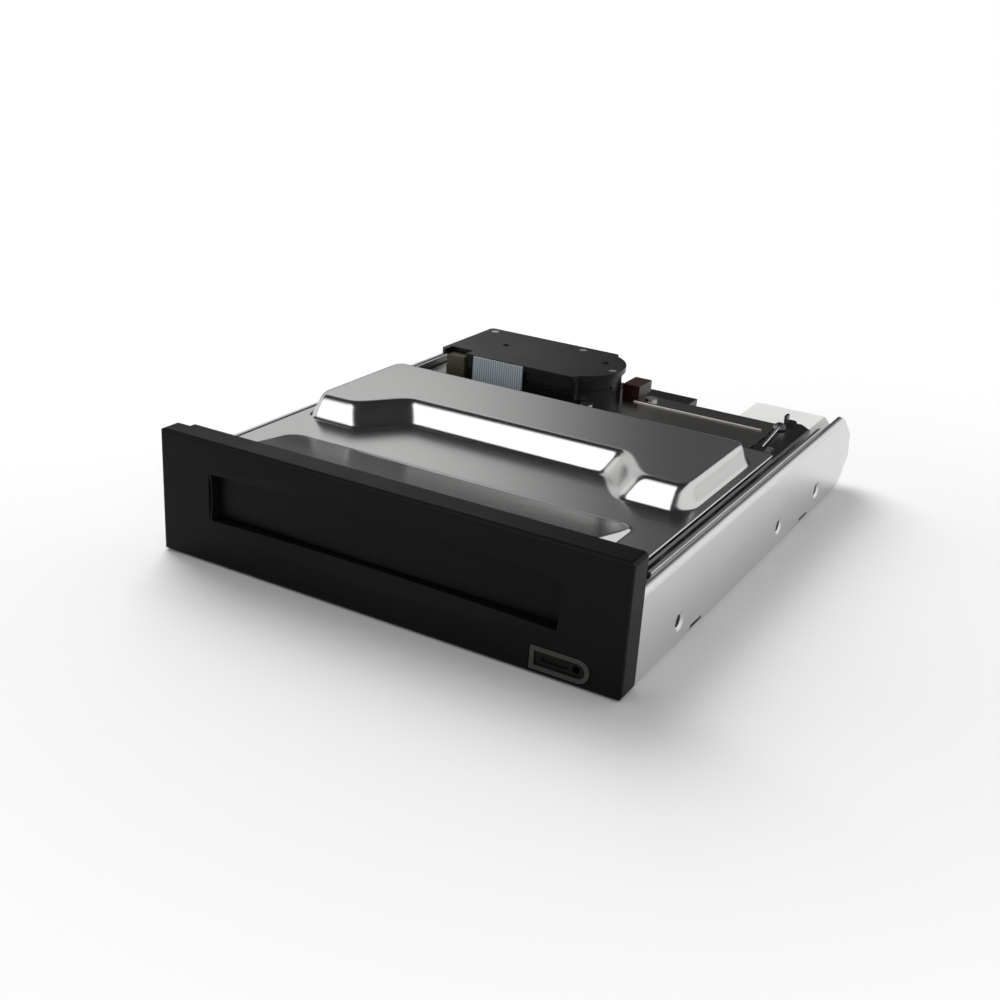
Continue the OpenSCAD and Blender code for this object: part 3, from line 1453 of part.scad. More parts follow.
bezel();
door_flap();
door_pins();
door_spring();
eject_button();
button_switch();
front_board();
status_led();
release_rod();
outer_tray();
mechanism_frame();
isolators();
isolator_screws();
main_board();
board_screws();
board_chips();
board_capacitors();
data_connector();
data_pins();
power_connector();
power_pins();
jumper_block();
left_guide();
right_guide();
carriage();
top_cover();
cover_screws();
rear_deck();
deck_screws();
latch_bracket();
latch_lever();
latch_pin();
wire_spring();
gearbox_base();
gearbox_cover();
gearbox_screws();
load_motor();
motor_pinion();
idler_gear();
output_gear();
gear_pins();
limit_switch();
ribbon_tail();
motor_plug();
actuator_arm();
voice_coil();
head_suspensions();
pivot_post();
pivot_bearing();
lower_yoke();
upper_yoke();
magnet();
load_ramp();
contact_block();
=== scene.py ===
import json
import math

import bmesh
import bpy
import numpy as np
from bpy.props import FloatProperty, FloatVectorProperty, PointerProperty
from mathutils import Matrix, Vector

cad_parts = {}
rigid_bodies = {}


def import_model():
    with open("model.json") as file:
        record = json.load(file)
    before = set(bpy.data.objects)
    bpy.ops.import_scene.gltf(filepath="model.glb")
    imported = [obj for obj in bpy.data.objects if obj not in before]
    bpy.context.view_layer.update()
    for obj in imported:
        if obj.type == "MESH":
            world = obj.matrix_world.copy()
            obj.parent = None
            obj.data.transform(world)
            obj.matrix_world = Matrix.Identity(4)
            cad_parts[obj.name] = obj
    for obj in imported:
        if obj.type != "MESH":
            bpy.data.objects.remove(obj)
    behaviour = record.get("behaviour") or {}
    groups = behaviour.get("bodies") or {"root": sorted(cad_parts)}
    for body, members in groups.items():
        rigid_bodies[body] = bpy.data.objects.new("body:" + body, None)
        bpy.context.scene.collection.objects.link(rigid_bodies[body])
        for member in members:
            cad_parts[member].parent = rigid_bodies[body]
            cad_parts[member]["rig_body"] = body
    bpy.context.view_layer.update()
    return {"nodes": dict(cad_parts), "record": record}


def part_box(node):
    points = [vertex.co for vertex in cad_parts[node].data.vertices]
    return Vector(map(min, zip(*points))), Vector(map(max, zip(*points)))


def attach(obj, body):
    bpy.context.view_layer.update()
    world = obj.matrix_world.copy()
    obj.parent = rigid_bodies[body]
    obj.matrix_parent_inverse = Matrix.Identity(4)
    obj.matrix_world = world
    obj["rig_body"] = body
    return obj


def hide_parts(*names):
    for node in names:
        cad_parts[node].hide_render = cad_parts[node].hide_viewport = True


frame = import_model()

bl_info = {
    "name": "Removable disk drive",
    "version": (1, 0, 0),
    "blender": (4, 5, 0),
    "location": "3D View > Sidebar > Disk Drive",
    "description": "Dresses the disk drive's solids with its cover, finishes, light and camera",
    "category": "Object",
}

MM = 0.001
NODES = frame["nodes"]


def box_in_mm(node):
    """A solid's lowest and highest corners in mm, with y counted from the panel's front face. They are
    rounded, because the frame holds them in single precision."""
    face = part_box("bezel")[0].y
    return [(round(c.x / MM, 3), round((c.y - face) / MM, 3), round(c.z / MM, 3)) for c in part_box(node)]


# The cover in mm: x from the middle, y from the panel's front face, z from the floor
PANEL_FACE = round(-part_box("bezel")[0].y / MM, 3)    # from the panel's front face to the origin
(_, COVER_FRONT, FLANGE_FOOT), (COVER_HALF, COVER_REAR, PLATEAU_TOP) = box_in_mm("top_cover")
COVER_CORNER = 1.5             # radius of the sheet's corners in plan
CORNER_FROM = 41.0             # |x| from which a corner is drawn in
PLATEAU_RISE = 4.6
COVER_TOP = PLATEAU_TOP - PLATEAU_RISE               # upper face of the lower level
PLATEAU_HALF, SIDE_RUN = 43.1, 1.7       # top edge at the sides, and how far out its foot lies
PLATEAU_REAR, REAR_RUN = 71.5, 3.0       # top edge at the rear, and how far back its foot lies
PLATEAU_FRONT, FRONT_RUN = 50.0, 3.3     # top edge at the front, and how far forward its foot lies
SWING_FROM, SWING_LENGTH = 24.0, 11.0    # |x| where the front edge swings forward, and over what width
SWING_DEPTH = 4.9              # half of how far the front edge swings forward
SWING_IN = 2.6                 # how much nearer the middle the foot's swing lies
PLATEAU_CORNER = 1.1           # corner radius in plan, as a share of the slope's width
HUMP_RISE, HUMP_HALF, HUMP_REAR = 3.4, 39.4, 27.0
HUMP_END_RUN, HUMP_CORNER = 2.0, 3.2     # width of the slope at the ends, and corner radius in plan
HUMP_FOOT_ROUND, MEET_ROUND = 0.25, 0.05            # at its foot, and where it meets the plateau
RIDGE_HEIGHT, RIDGE_WIDTH = 0.12, 0.3
RIDGE_FROM, RIDGE_GROWTH = -26.0, 34.0   # x where the ridge starts, and over what length it grows
FLANGE_BEND = 0.5              # radius of the bend along the flange's upper edge
FLANGE_FRONT, FLANGE_REAR = 14.0, COVER_REAR - 2.0
FLANGE_LEVELS = (18.0, 16.0, FLANGE_FOOT)            # heights of the rows below the bend

# Where the cover's grid has its lines: spans of (from, to, step) in mm
COVER_ACROSS = ((0, 22, 2), (22, 36, 0.35), (36, 40.5, 0.18), (40.5, COVER_HALF, 0.28))
COVER_ALONG = ((COVER_FRONT, 22, 0.8), (22, 25, 0.3), (25, 28, 0.15), (28, 36, 0.8), (36, 52, 0.28),
               (52, 69, 2.5), (69, 77, 0.28), (77, COVER_REAR, 0.4))

# The eject button's painted highlight: it grows darker between these depths behind the panel's front face, in
# mm, so the raised ring is painted paler than the rest
RING_DEPTH, BUTTON_DEPTH = 0.05, 0.25

# Widths of the rolled edges, in mm
SOFTENED = {
    "bezel": 0.25, "door_flap": 0.15, "eject_button": 0.12, "gearbox_cover": 0.3, "gearbox_base": 0.15,
    "rear_deck": 0.12, "latch_bracket": 0.12, "motor_plug": 0.12, "limit_switch": 0.15,
    "data_connector": 0.15, "power_connector": 0.2, "outer_tray": 0.1, "left_guide": 0.2,
    "right_guide": 0.2, "mechanism_frame": 0.2,
}
SHARP_ANGLE = math.radians(28.0)         # edges sharper than this are rolled
FLAT_ANGLE = math.radians(0.8)           # faces that meet flatter than this are joined
WELD = 0.0000012                         # points nearer than this are joined, in metres

# The camera as solved from the photograph: turns in radians, place in metres, lens in mm
AZIMUTH, ELEVATION, ROLL = 0.50330, 0.39066, 0.063693
CAMERA_PLACE = (0.123497, -0.242073, 0.113947)
LENS, SENSOR = 47.39, 36.0

# The stage in metres and degrees: a bearing is 0 straight behind the drive and grows to the right
FLOOR_HALF, FLOOR_LEVEL = 4, -0.0001
SHADOW_KEPT, SHADOW_GONE = 0.085, 0.19   # distances between which the floor turns plain white
WALL_DISTANCE, WALL_HEIGHT = 1.0, 0.95
STRIP_DISTANCE, STRIP_HEIGHT = 0.45, 0.12
WALL_BEARINGS = (-75, 13)
WALL_BRIGHT, WALL_DARK = -0.60, -0.33    # x between which the wall's glow falls
CEILING_DISTANCE, CEILING_RISES = 1.6, (38, 89.5)
SOFTBOX_DISTANCE, SOFTBOX_BEARINGS, SOFTBOX_RISES = 1.1, (-174.0, -112.0), (14.0, 76.0)
SOFTBOX_FADE = 15.0
KEY_PLACE, KEY_SIZE = (-0.62, 0.42, 0.72), 0.8
FILL_PLACE, FILL_SIZE = (0.55, -0.6, 0.5), 0.5
LAMP_TARGET = (0, 0, 0.01)


# Sizes and colours that a user would change

def length(name, about, value):
    """A size given in mm and kept in metres."""
    return FloatProperty(name=name, description=about, default=value * MM, unit="LENGTH")


def colour(name, about, value):
    """A colour as linear red, green and blue."""
    return FloatVectorProperty(name=name, description=about, subtype="COLOR", size=3, default=value)


def amount(name, about, value, unit="NONE"):
    """A level or a power, which is never below zero."""
    return FloatProperty(name=name, description=about, default=value, min=0.0, unit=unit)


class CoverSizes(bpy.types.PropertyGroup):
    """Sizes of the polished cover."""
    sheet: length("Sheet", "Thickness of the sheet", 0.6)
    top_round: length("Upper rounding", "Width of the rounding along the plateau's edge", 1.4)
    foot_round: length("Foot rounding", "Width of the rounding along the plateau's foot", 0.9)
    hump_round: length("Hump rounding", "Width of the rounding along the door hump's ends", 0.6)


class DriveColours(bpy.types.PropertyGroup):
    """Colours of the main finishes."""
    panel: colour("Panel", "Front panel and door", (0.005, 0.005, 0.0055))
    cover: colour("Cover", "Polished cover sheet", (0.62, 0.62, 0.61))
    tray: colour("Tray", "Plated tray and rails", (0.74, 0.74, 0.735))
    gearbox: colour("Gearbox", "Gearbox housing", (0.006, 0.006, 0.006))


class StudioLight(bpy.types.PropertyGroup):
    """Levels of the studio."""
    ambient: amount("Ambient", "Light from all round", 0.42)
    key: amount("Key", "Power of the lamp behind on the left", 9.8, "POWER")
    fill: amount("Fill", "Power of the lamp in front on the right", 0.8, "POWER")
    softbox: amount("Softbox", "Glow of the card that the flanks mirror", 1.9)
    ceiling: amount("Ceiling", "Glow of the dark ceiling in gloss", 0.03)
    wall_left: amount("Wall, left", "Glow of the wall behind at its left end", 0.75)
    wall_right: amount("Wall, right", "Glow of the wall behind at its right end", 0.1)


# Nodes

def add_node(tree, kind, values=None, **settings):
    """Adds a node with its settings, and the values of its inputs by name or number."""
    node = tree.nodes.new(kind)
    for name, value in settings.items():
        setattr(node, name, value)
    for key, value in (values or {}).items():
        node.inputs[key].default_value = value
    return node


def start_material(name):
    """A material with its node tree and Principled surface."""
    mat = bpy.data.materials.new(name)
    mat.use_nodes = True
    tree = mat.node_tree
    return mat, tree, tree.nodes["Principled BSDF"]


def object_coords(tree):
    return add_node(tree, "ShaderNodeTexCoord").outputs["Object"]


def one_axis(tree, vector, axis):
    """The X, Y or Z of a vector."""
    node = add_node(tree, "ShaderNodeSeparateXYZ")
    tree.links.new(vector, node.inputs["Vector"])
    return node.outputs[axis]


def scaled(tree, vector, scale):
    node = add_node(tree, "ShaderNodeMapping", {"Scale": scale})
    tree.links.new(vector, node.inputs["Vector"])
    return node.outputs["Vector"]


def noise(tree, vector, scale, detail=4.0, roughness=0.55):
    values = {"Scale": scale, "Detail": detail, "Roughness": roughness}
    node = add_node(tree, "ShaderNodeTexNoise", values)
    tree.links.new(vector, node.inputs["Vector"])
    return node.outputs["Fac"]


def bands(tree, vector, values):
    """Waves across the X axis."""
    node = add_node(tree, "ShaderNodeTexWave", values, bands_direction="X")
    tree.links.new(vector, node.inputs["Vector"])
    return node.outputs["Fac"]


def spread(tree, value, low, high, a=0.3, b=0.7, step="LINEAR"):
    """Maps the range a to b onto low to high. Left alone, a to b is the middle of a texture's range."""
    values = {"From Min": a, "From Max": b, "To Min": low, "To Max": high}
    node = add_node(tree, "ShaderNodeMapRange", values, interpolation_type=step)
    tree.links.new(value, node.inputs["Value"])
    return node.outputs["Result"]


def tinted(tree, value, dark, light):
    """Blends two colours by a texture. Inputs 6 and 7 and output 2 of a Mix node are its colours."""
    node = add_node(tree, "ShaderNodeMix", {6: (*dark, 1.0), 7: (*light, 1.0)}, data_type="RGBA")
    tree.links.new(value, node.inputs["Factor"])
    return node.outputs[2]


def combined(tree, operation, a, b):
    """Joins two values with one of the Math node's operations."""
    node = add_node(tree, "ShaderNodeMath", operation=operation)
    tree.links.new(a, node.inputs[0])
    tree.links.new(b, node.inputs[1])
    return node.outputs[0]


def surfaced(tree, shader, tint, sheen, height, depth):
    """Gives a surface its colour, its roughness and a bump of the given depth in metres."""
    bump = add_node(tree, "ShaderNodeBump", {"Strength": 1.0, "Distance": depth})
    tree.links.new(height, bump.inputs["Height"])
    tree.links.new(tint, shader.inputs["Base Color"])
    tree.links.new(sheen, shader.inputs["Roughness"])
    tree.links.new(bump.outputs["Normal"], shader.inputs["Normal"])


# Finishes

def moulded_plastic(name, base, roughness, grain=2600.0, depth=0.000006, gloss=0.5, lift=1.5, ior=1.5):
    """Moulded plastic: a fine even grain, and slow changes of tone and sheen."""
    mat, tree, shader = start_material(name)
    coords = object_coords(tree)
    slow = noise(tree, coords, scale=55.0, detail=3.0)
    fine = noise(tree, coords, scale=grain, detail=2.0, roughness=0.5)
    tint = tinted(tree, slow, base, tuple(min(1.0, c * lift) for c in base))
    sheen = spread(tree, slow, roughness * 0.86, roughness * 1.16)
    surfaced(tree, shader, tint, sheen, fine, depth)
    shader.inputs["Specular IOR Level"].default_value = gloss
    shader.inputs["IOR"].default_value = ior
    return mat


def sheet_metal(name, base, roughness, brushed, fineness, depth=0.000002, cloud=0.1, draw=0.22):
    """Sheet metal: fine drawn lines along one axis, and slow clouds in its tone."""
    mat, tree, shader = start_material(name)
    coords = object_coords(tree)
    lines = noise(tree, scaled(tree, coords, brushed), scale=fineness, detail=3.0, roughness=0.6)
    slow = noise(tree, coords, scale=38.0, detail=3.0)
    tint = tinted(tree, slow, tuple(c * (1 - cloud) for c in base), base)
    sheen = spread(tree, lines, roughness * (1 - draw), roughness * (1 + draw))
    surfaced(tree, shader, tint, sheen, lines, depth)
    shader.inputs["Metallic"].default_value = 1.0
    return mat


def smoky_button(name):
    """Smoky plastic: dark and glossy, with a fine moulded ripple, and a painted highlight that makes it paler
    where it stands forward.
    """
    mat, tree, shader = start_material(name)
    coords = object_coords(tree)
    ring, rest = (RING_DEPTH - PANEL_FACE) * MM, (BUTTON_DEPTH - PANEL_FACE) * MM
    # painted highlight: the raised ring is painted paler, fading to the dark body over the depths behind it
    ring_highlight = spread(tree, one_axis(tree, coords, "Y"), 1.0, 0.0, ring, rest)
    tint = tinted(tree, ring_highlight, (0.006, 0.006, 0.005), (0.06, 0.058, 0.052))
    sheen = spread(tree, noise(tree, coords, scale=160.0, detail=2.0), 0.16, 0.26)
    surfaced(tree, shader, tint, sheen, noise(tree, coords, scale=900.0, detail=2.0), 0.000004)
    shader.inputs["IOR"].default_value = 1.25
    return mat


def circuit_board(name):
    """Green solder mask over copper tracks: fine wavering lines that stand up under the mask."""
    mat, tree, shader = start_material(name)
    coords = object_coords(tree)
    wave = bands(tree, coords, {"Scale": 130.0, "Distortion": 3.0, "Detail Scale": 0.6})
    tracks = spread(tree, wave, 0.0, 1.0, 0.62, 0.7)
    tint = tinted(tree, tracks, (0.006, 0.07, 0.03), (0.02, 0.13, 0.055))
    sheen = spread(tree, noise(tree, coords, scale=90.0), 0.25, 0.42)
    surfaced(tree, shader, tint, sheen, tracks, 0.00002)
    return mat


def ribbon_film(name):
    """Pale blue film with fine upright conductors."""
    mat, tree, shader = start_material(name)
    coords = object_coords(tree)
    lines = spread(tree, bands(tree, coords, {"Scale": 520.0}), 0.0, 1.0, 0.35, 0.65)
    tint = tinted(tree, lines, (0.30, 0.37, 0.42), (0.62, 0.70, 0.74))
    sheen = spread(tree, noise(tree, coords, scale=300.0), 0.3, 0.45)
    surfaced(tree, shader, tint, sheen, lines, 0.00003)
    return mat


def make_finishes():
    """One material for each material slot. A metal's lines run along the axis of the smallest scale."""
    c = bpy.context.scene.drive_colours
    along_x, along_y, along_z = (0.1, 1.0, 1.0), (1.0, 0.2, 1.0), (1.0, 1.0, 0.2)
    rolled = {"cloud": 0.06, "draw": 0.1, "depth": 0.0000003}
    polished = {"cloud": 0.03, "draw": 0.06, "depth": 0.0000001}
    return {
        "panel_black": moulded_plastic("panel_black", tuple(c.panel), 0.34, gloss=0.3, ior=1.22),
        "smoke": smoky_button("smoky_plastic"),
        "tray_steel": sheet_metal("tray_zinc", tuple(c.tray), 0.32, (1.0, 0.05, 1.0), 2600.0, **rolled),
        "cover_steel": sheet_metal("cover_polished", tuple(c.cover), 0.21, along_x, 2200.0, **polished),
        "deck_steel": sheet_metal("deck_satin", (0.32, 0.31, 0.295), 0.24, along_x, 2000.0, **rolled),
        "bracket_steel": sheet_metal("bracket_dark", (0.09, 0.088, 0.085), 0.34, along_y, 900.0),
        "bright_steel": sheet_metal("bright_steel", (0.78, 0.78, 0.77), 0.14, (1.0, 1.0, 0.3), 1800.0,
                                    depth=0.000001),
        "board_green": circuit_board("board_green"),
        "black_plastic": moulded_plastic("gearbox_black", tuple(c.gearbox), 0.3, gloss=0.28),
        "carriage_plastic": moulded_plastic("carriage_black", (0.03, 0.03, 0.032), 0.45),
        "gear_plastic": moulded_plastic("gear_ivory", (0.62, 0.58, 0.47), 0.4, lift=1.1),
        "white_plastic": moulded_plastic("socket_white", (0.8, 0.8, 0.785), 0.42, lift=1.06),
        "red_plastic": moulded_plastic("plug_red", (0.022, 0.002, 0.003), 0.38),
        "olive_plastic": moulded_plastic("switch_olive", (0.052, 0.045, 0.026), 0.42),
        "ribbon_film": ribbon_film("ribbon_film"),
        "rubber": moulded_plastic("soft_mount", (0.012, 0.012, 0.012), 0.7, grain=1200.0, depth=0.00001),
        "brass": sheet_metal("pinion_brass", (0.72, 0.52, 0.22), 0.24, along_z, 1500.0),
        "gold_contact": sheet_metal("contact_gold", (0.85, 0.62, 0.25), 0.18, along_y, 1500.0),
        "coil_copper": sheet_metal("coil_wire", (0.62, 0.25, 0.1), 0.32, (1.0, 1.0, 6.0), 700.0,
                                   depth=0.00001),
        "tantalum": moulded_plastic("capacitor_amber", (0.42, 0.24, 0.04), 0.3, lift=1.1),
        "arm_aluminium": sheet_metal("arm_aluminium", (0.77, 0.77, 0.78), 0.24, (0.2, 1.0, 1.0), 1200.0),
    }


FINISH = {}    # material slot to material, filled by the finishes operator


def slot_of(node):
    """The material slot that the record gives a solid."""
    for row in frame["record"]["subparts"]:
        if row["node"] == node:
            return row["material_slot"]
    raise RuntimeError("no material slot for " + node)


# Meshes

def add_piece(name, mesh, body, slot, *replaced):
    """Adds a mesh as a piece of the part, on its body, in its slot and for the solids it replaces."""
    piece = bpy.data.objects.new(name, mesh)
    bpy.context.scene.collection.objects.link(piece)
    mesh.materials.clear()
    mesh.materials.append(FINISH[slot])
    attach(piece, body)
    if replaced:
        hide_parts(*replaced)
    return piece


def grid_mesh(name, x, y, z):
    """A mesh on a grid of points: x, y and z are arrays of one shape, and each cell is one face."""
    rows, cols = x.shape
    co = np.stack([x, y, z], axis=-1).reshape(-1, 3)
    index = np.arange(rows * cols).reshape(rows, cols)
    corners = [index[:-1, :-1], index[:-1, 1:], index[1:, 1:], index[1:, :-1]]
    quads = np.stack(corners, axis=-1).reshape(-1, 4)
    mesh = bpy.data.meshes.new(name)
    mesh.vertices.add(len(co))
    mesh.vertices.foreach_set("co", co.astype(np.float32).ravel())
    mesh.loops.add(quads.size)
    mesh.loops.foreach_set("vertex_index", quads.astype(np.int32).ravel())
    mesh.polygons.add(len(quads))
    mesh.polygons.foreach_set("loop_start", np.arange(0, quads.size, 4, dtype=np.int32))
    mesh.update(calc_edges=True)
    mesh.validate()
    mesh.shade_smooth()
    return mesh


def sheet_piece(name, x, y, z, thickness, *replaced):
    """A piece of the cover's sheet: the grid, in mm, is its outer face, and the wall lies inside it."""
    mesh = grid_mesh(name, x * MM, (y - PANEL_FACE) * MM, z * MM)
    wall = add_piece(name, mesh, "drive", "cover_steel", *replaced).modifiers.new("sheet", "SOLIDIFY")
    wall.thickness = thickness
    wall.offset = -1.0


def stops(spans):
    """Positions along one axis, from spans of (from, to, step) joined without repeats."""
    parts = [np.linspace(a, b, max(2, int(round((b - a) / step)) + 1)) for a, b, step in spans]
    return np.unique(np.round(np.concatenate(parts), 6))


def soft_max(a, b, k):
    """The larger of two heights, with the corner between them rounded over a width k."""
    return np.maximum(a, b) + np.maximum(k - np.abs(a - b), 0.0) ** 2 / (4 * k)


def soft_min(a, b, k):
    """The smaller of two heights, with the corner between them rounded over a width k."""
    return -soft_max(-a, -b, k)


def round_corner(across, along, r):
    """Distance from the edge of a corner of radius r, for distances from its two straight sides."""
    a, b = across + r, along + r
    return np.minimum(np.maximum(a, b), 0.0) + np.hypot(np.maximum(a, 0), np.maximum(b, 0)) - r


def plateau_share(x, y):
    """How far a point lies down the plateau's slope: 0 at the top's edge, 1 at the foot. At the front the
    edge is a straight line whose ends swing forward on half a cosine wave, and moves forward and inward
    with the share, so the share is found for the point's own y by Newton's method. The sides and the
    rear are straight, and the corners are round in plan."""
    ax = np.abs(x)
    share = np.zeros_like(ax)
    for _ in range(12):
        u = np.clip((ax - SWING_FROM + SWING_IN * share) / SWING_LENGTH, 0.0, 1.0)
        front = PLATEAU_FRONT - FRONT_RUN * share - SWING_DEPTH * (1 - np.cos(np.pi * u))
        inside = (u > 0) & (u < 1)
        turn = SWING_DEPTH * np.pi * np.sin(np.pi * u) * SWING_IN / SWING_LENGTH
        slope = -FRONT_RUN - np.where(inside, turn, 0.0)
        share = share - (front - y) / slope
    side = (ax - PLATEAU_HALF) / SIDE_RUN
    rear = (y - PLATEAU_REAR) / REAR_RUN
    return round_corner(side, np.maximum(share, rear), PLATEAU_CORNER)


def cover_height(x, y, sizes):
    """Height of the cover above its lower level: the plateau and the door hump are each the lower of
    their slopes, and the cover is the highest of these and the level, with every corner rounded. A fine
    ridge lies on a bell curve along the hump's outline, and grows from nothing at its left end."""
    top, foot, ends_k = sizes.top_round / MM, sizes.foot_round / MM, sizes.hump_round / MM
    level = np.zeros_like(x)
    plateau = soft_min(PLATEAU_RISE * (1 - plateau_share(x, y)), level + PLATEAU_RISE, top)
    slope = HUMP_RISE * (HUMP_REAR - y) / (HUMP_REAR - COVER_FRONT)
    outside = round_corner(np.abs(x) - HUMP_HALF, y - HUMP_REAR, HUMP_CORNER)
    ends = -HUMP_RISE * outside / HUMP_END_RUN
    hump = soft_max(soft_min(slope, ends, ends_k), level, HUMP_FOOT_ROUND)
    growth = np.clip((x - RIDGE_FROM) / RIDGE_GROWTH, 0.0, 1.0)
    ridge = RIDGE_HEIGHT * growth * np.exp(-((outside + RIDGE_WIDTH) / RIDGE_WIDTH) ** 2)
    return soft_max(soft_max(plateau, level, foot), hump, MEET_ROUND) + ridge


def corner_inset(x, y):
    """How far the sheet is drawn in at its front and rear corners: a quarter circle along y, in full at
    the side edge and fading evenly to nothing towards the middle."""
    r = COVER_CORNER
    front = np.maximum(r - (y - COVER_FRONT), 0)
    rear = np.maximum(r - (COVER_REAR - y), 0)
    depth = np.minimum(front + rear, r)
    share = np.clip((np.abs(x) - CORNER_FROM) / (COVER_HALF - CORNER_FROM), 0.0, 1.0)
    return (r - np.sqrt(np.maximum(r * r - depth * depth, 0))) * share


class DRIVE_OT_cover(bpy.types.Operator):
    """Presses the polished cover and its two side flanges"""
    bl_idname = "drive.cover"
    bl_label = "Top cover"

    def execute(self, context):
        sizes = context.scene.drive_cover
        half = stops(COVER_ACROSS)
        x, y = np.meshgrid(np.concatenate([-half[:0:-1], half]), stops(COVER_ALONG))
        z = COVER_TOP + cover_height(x, y, sizes)
        sheet_piece("cover_skin", x - np.sign(x) * corner_inset(x, y), y, z, sizes.sheet, "top_cover")
        # a flange turns down over a quarter circle and is carried straight along y
        t = np.linspace(0, np.pi / 2, 7)
        bend_x = COVER_HALF - FLANGE_BEND + FLANGE_BEND * np.sin(t)
        bend_z = COVER_TOP - FLANGE_BEND + FLANGE_BEND * np.cos(t)
        profile_x = np.concatenate([bend_x, np.full(len(FLANGE_LEVELS), COVER_HALF)])
        profile_z = np.concatenate([bend_z, FLANGE_LEVELS])
        along = np.linspace(FLANGE_FRONT, FLANGE_REAR, 14)
        # the left flange's columns run the other way, so that its faces point outwards
        for side, label, order in ((-1, "left", slice(None, None, -1)), (1, "right", slice(None))):
            px, py = np.meshgrid(side * profile_x[order], along)
            pz = np.broadcast_to(profile_z[order], px.shape)
            sheet_piece("cover_flange_" + label, px, py, pz, sizes.sheet)
        return {"FINISHED"}


def softened(node, width):
    """A copy of a solid with its flat faces joined and its sharp edges rolled over a small width."""
    source = NODES[node]
    mesh = source.data.copy()
    mesh.name = node + "_soft"
    bm = bmesh.new()
    bm.from_mesh(mesh)
    bmesh.ops.remove_doubles(bm, verts=bm.verts, dist=WELD)
    bmesh.ops.dissolve_limit(bm, angle_limit=FLAT_ANGLE, verts=bm.verts, edges=bm.edges)
    bm.normal_update()
    bm.to_mesh(mesh)
    bm.free()
    mesh.shade_smooth()
    mesh.set_sharp_from_angle(angle=SHARP_ANGLE)
    piece = add_piece(node + "_soft", mesh, source["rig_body"], slot_of(node), node)
    roll = piece.modifiers.new("rolled_edges", "BEVEL")
    roll.width = width
    roll.segments = 2
    roll.limit_method = "ANGLE"
    roll.angle_limit = SHARP_ANGLE
    roll.use_clamp_overlap = True
    roll.harden_normals = True
    even = piece.modifiers.new("even_shading", "WEIGHTED_NORMAL")
    even.mode = "FACE_AREA"
    even.keep_sharp = True


class DRIVE_OT_finishes(bpy.types.Operator):
    """Makes the finishes and gives one to every solid"""
    bl_idname = "drive.finishes"
    bl_label = "Finishes"

    def execute(self, context):
        FINISH.clear()
        FINISH.update(make_finishes())
        for node, solid in NODES.items():
            solid.data.materials.clear()
            solid.data.materials.append(FINISH[slot_of(node)])
        return {"FINISHED"}


class DRIVE_OT_edges(bpy.types.Operator):
    """Rolls the sharp edges of the pieces that are seen"""
    bl_idname = "drive.edges"
    bl_label = "Rolled edges"

    def execute(self, context):
        for node, width in SOFTENED.items():
            softened(node, width * MM)
        return {"FINISHED"}


# Stage

def put_stage(name, mesh, mat):
    """Adds a floor or card to the scene as part of the stage."""
    thing = bpy.data.objects.new(name, mesh)
    bpy.context.scene.collection.objects.link(thing)
    mesh.materials.append(mat)
    return thing


def put_card(name, mesh, mat):
    """Adds a card that stays out of the picture and out of the light, so that only gloss shows it."""
    card = put_stage(name, mesh, mat)
    card.visible_camera = False
    card.visible_diffuse = False
    card.visible_shadow = False
    card.visible_transmission = False
    card.visible_volume_scatter = False


def card_glow(name, level):
    """A black surface that glows, its node tree and the input that holds its glow."""
    mat, tree, shader = start_material(name)
    shader.inputs["Base Color"].default_value = (0, 0, 0, 1)
    shader.inputs["Specular IOR Level"].default_value = 0.0
    shader.inputs["Emission Color"].default_value = (1, 1, 1, 1)
    shader.inputs["Emission Strength"].default_value = level
    return mat, tree, shader.inputs["Emission Strength"]


def bent_mesh(name, radius, height):
    """An upright strip bent round the drive: points at one radius, over the wall's bearings, from the
    floor to a height."""
    turn, z = np.meshgrid(np.radians(np.linspace(*WALL_BEARINGS, 25)), np.linspace(0.0, height, 9))
    return grid_mesh(name, radius * np.sin(turn), radius * np.cos(turn), z)


def dome_mesh(name, radius, turn, rise):
    """A part of a dome over the drive: points at one radius, at bearings and elevations in degrees."""
    b, e = np.radians(turn), np.radians(rise)
    return grid_mesh(name, radius * np.sin(b) * np.cos(e), radius * np.cos(b) * np.cos(e), radius * np.sin(e))


def put_wall(light):
    """The wall behind the drive, whose glow falls from left to right, and a black strip at its foot."""
    mat, tree, strength = card_glow("card_behind", light.wall_right)
    across = one_axis(tree, object_coords(tree), "X")
    fall = spread(tree, across, light.wall_left, light.wall_right, WALL_BRIGHT, WALL_DARK, "SMOOTHSTEP")
    tree.links.new(fall, strength)
    put_card("card_behind", bent_mesh("card_behind", WALL_DISTANCE, WALL_HEIGHT), mat)
    put_card("card_low", bent_mesh("card_low", STRIP_DISTANCE, STRIP_HEIGHT), card_glow("card_low", 0.0)[0])


def put_ceiling(light):
    """A cap of one level of glow, all round and up to overhead."""
    turn, rise = np.meshgrid(np.linspace(0, 360, 49), np.linspace(*CEILING_RISES, 13))
    mesh = dome_mesh("card_above", CEILING_DISTANCE, turn, rise)
    put_card("card_above", mesh, card_glow("card_above", light.ceiling)[0])


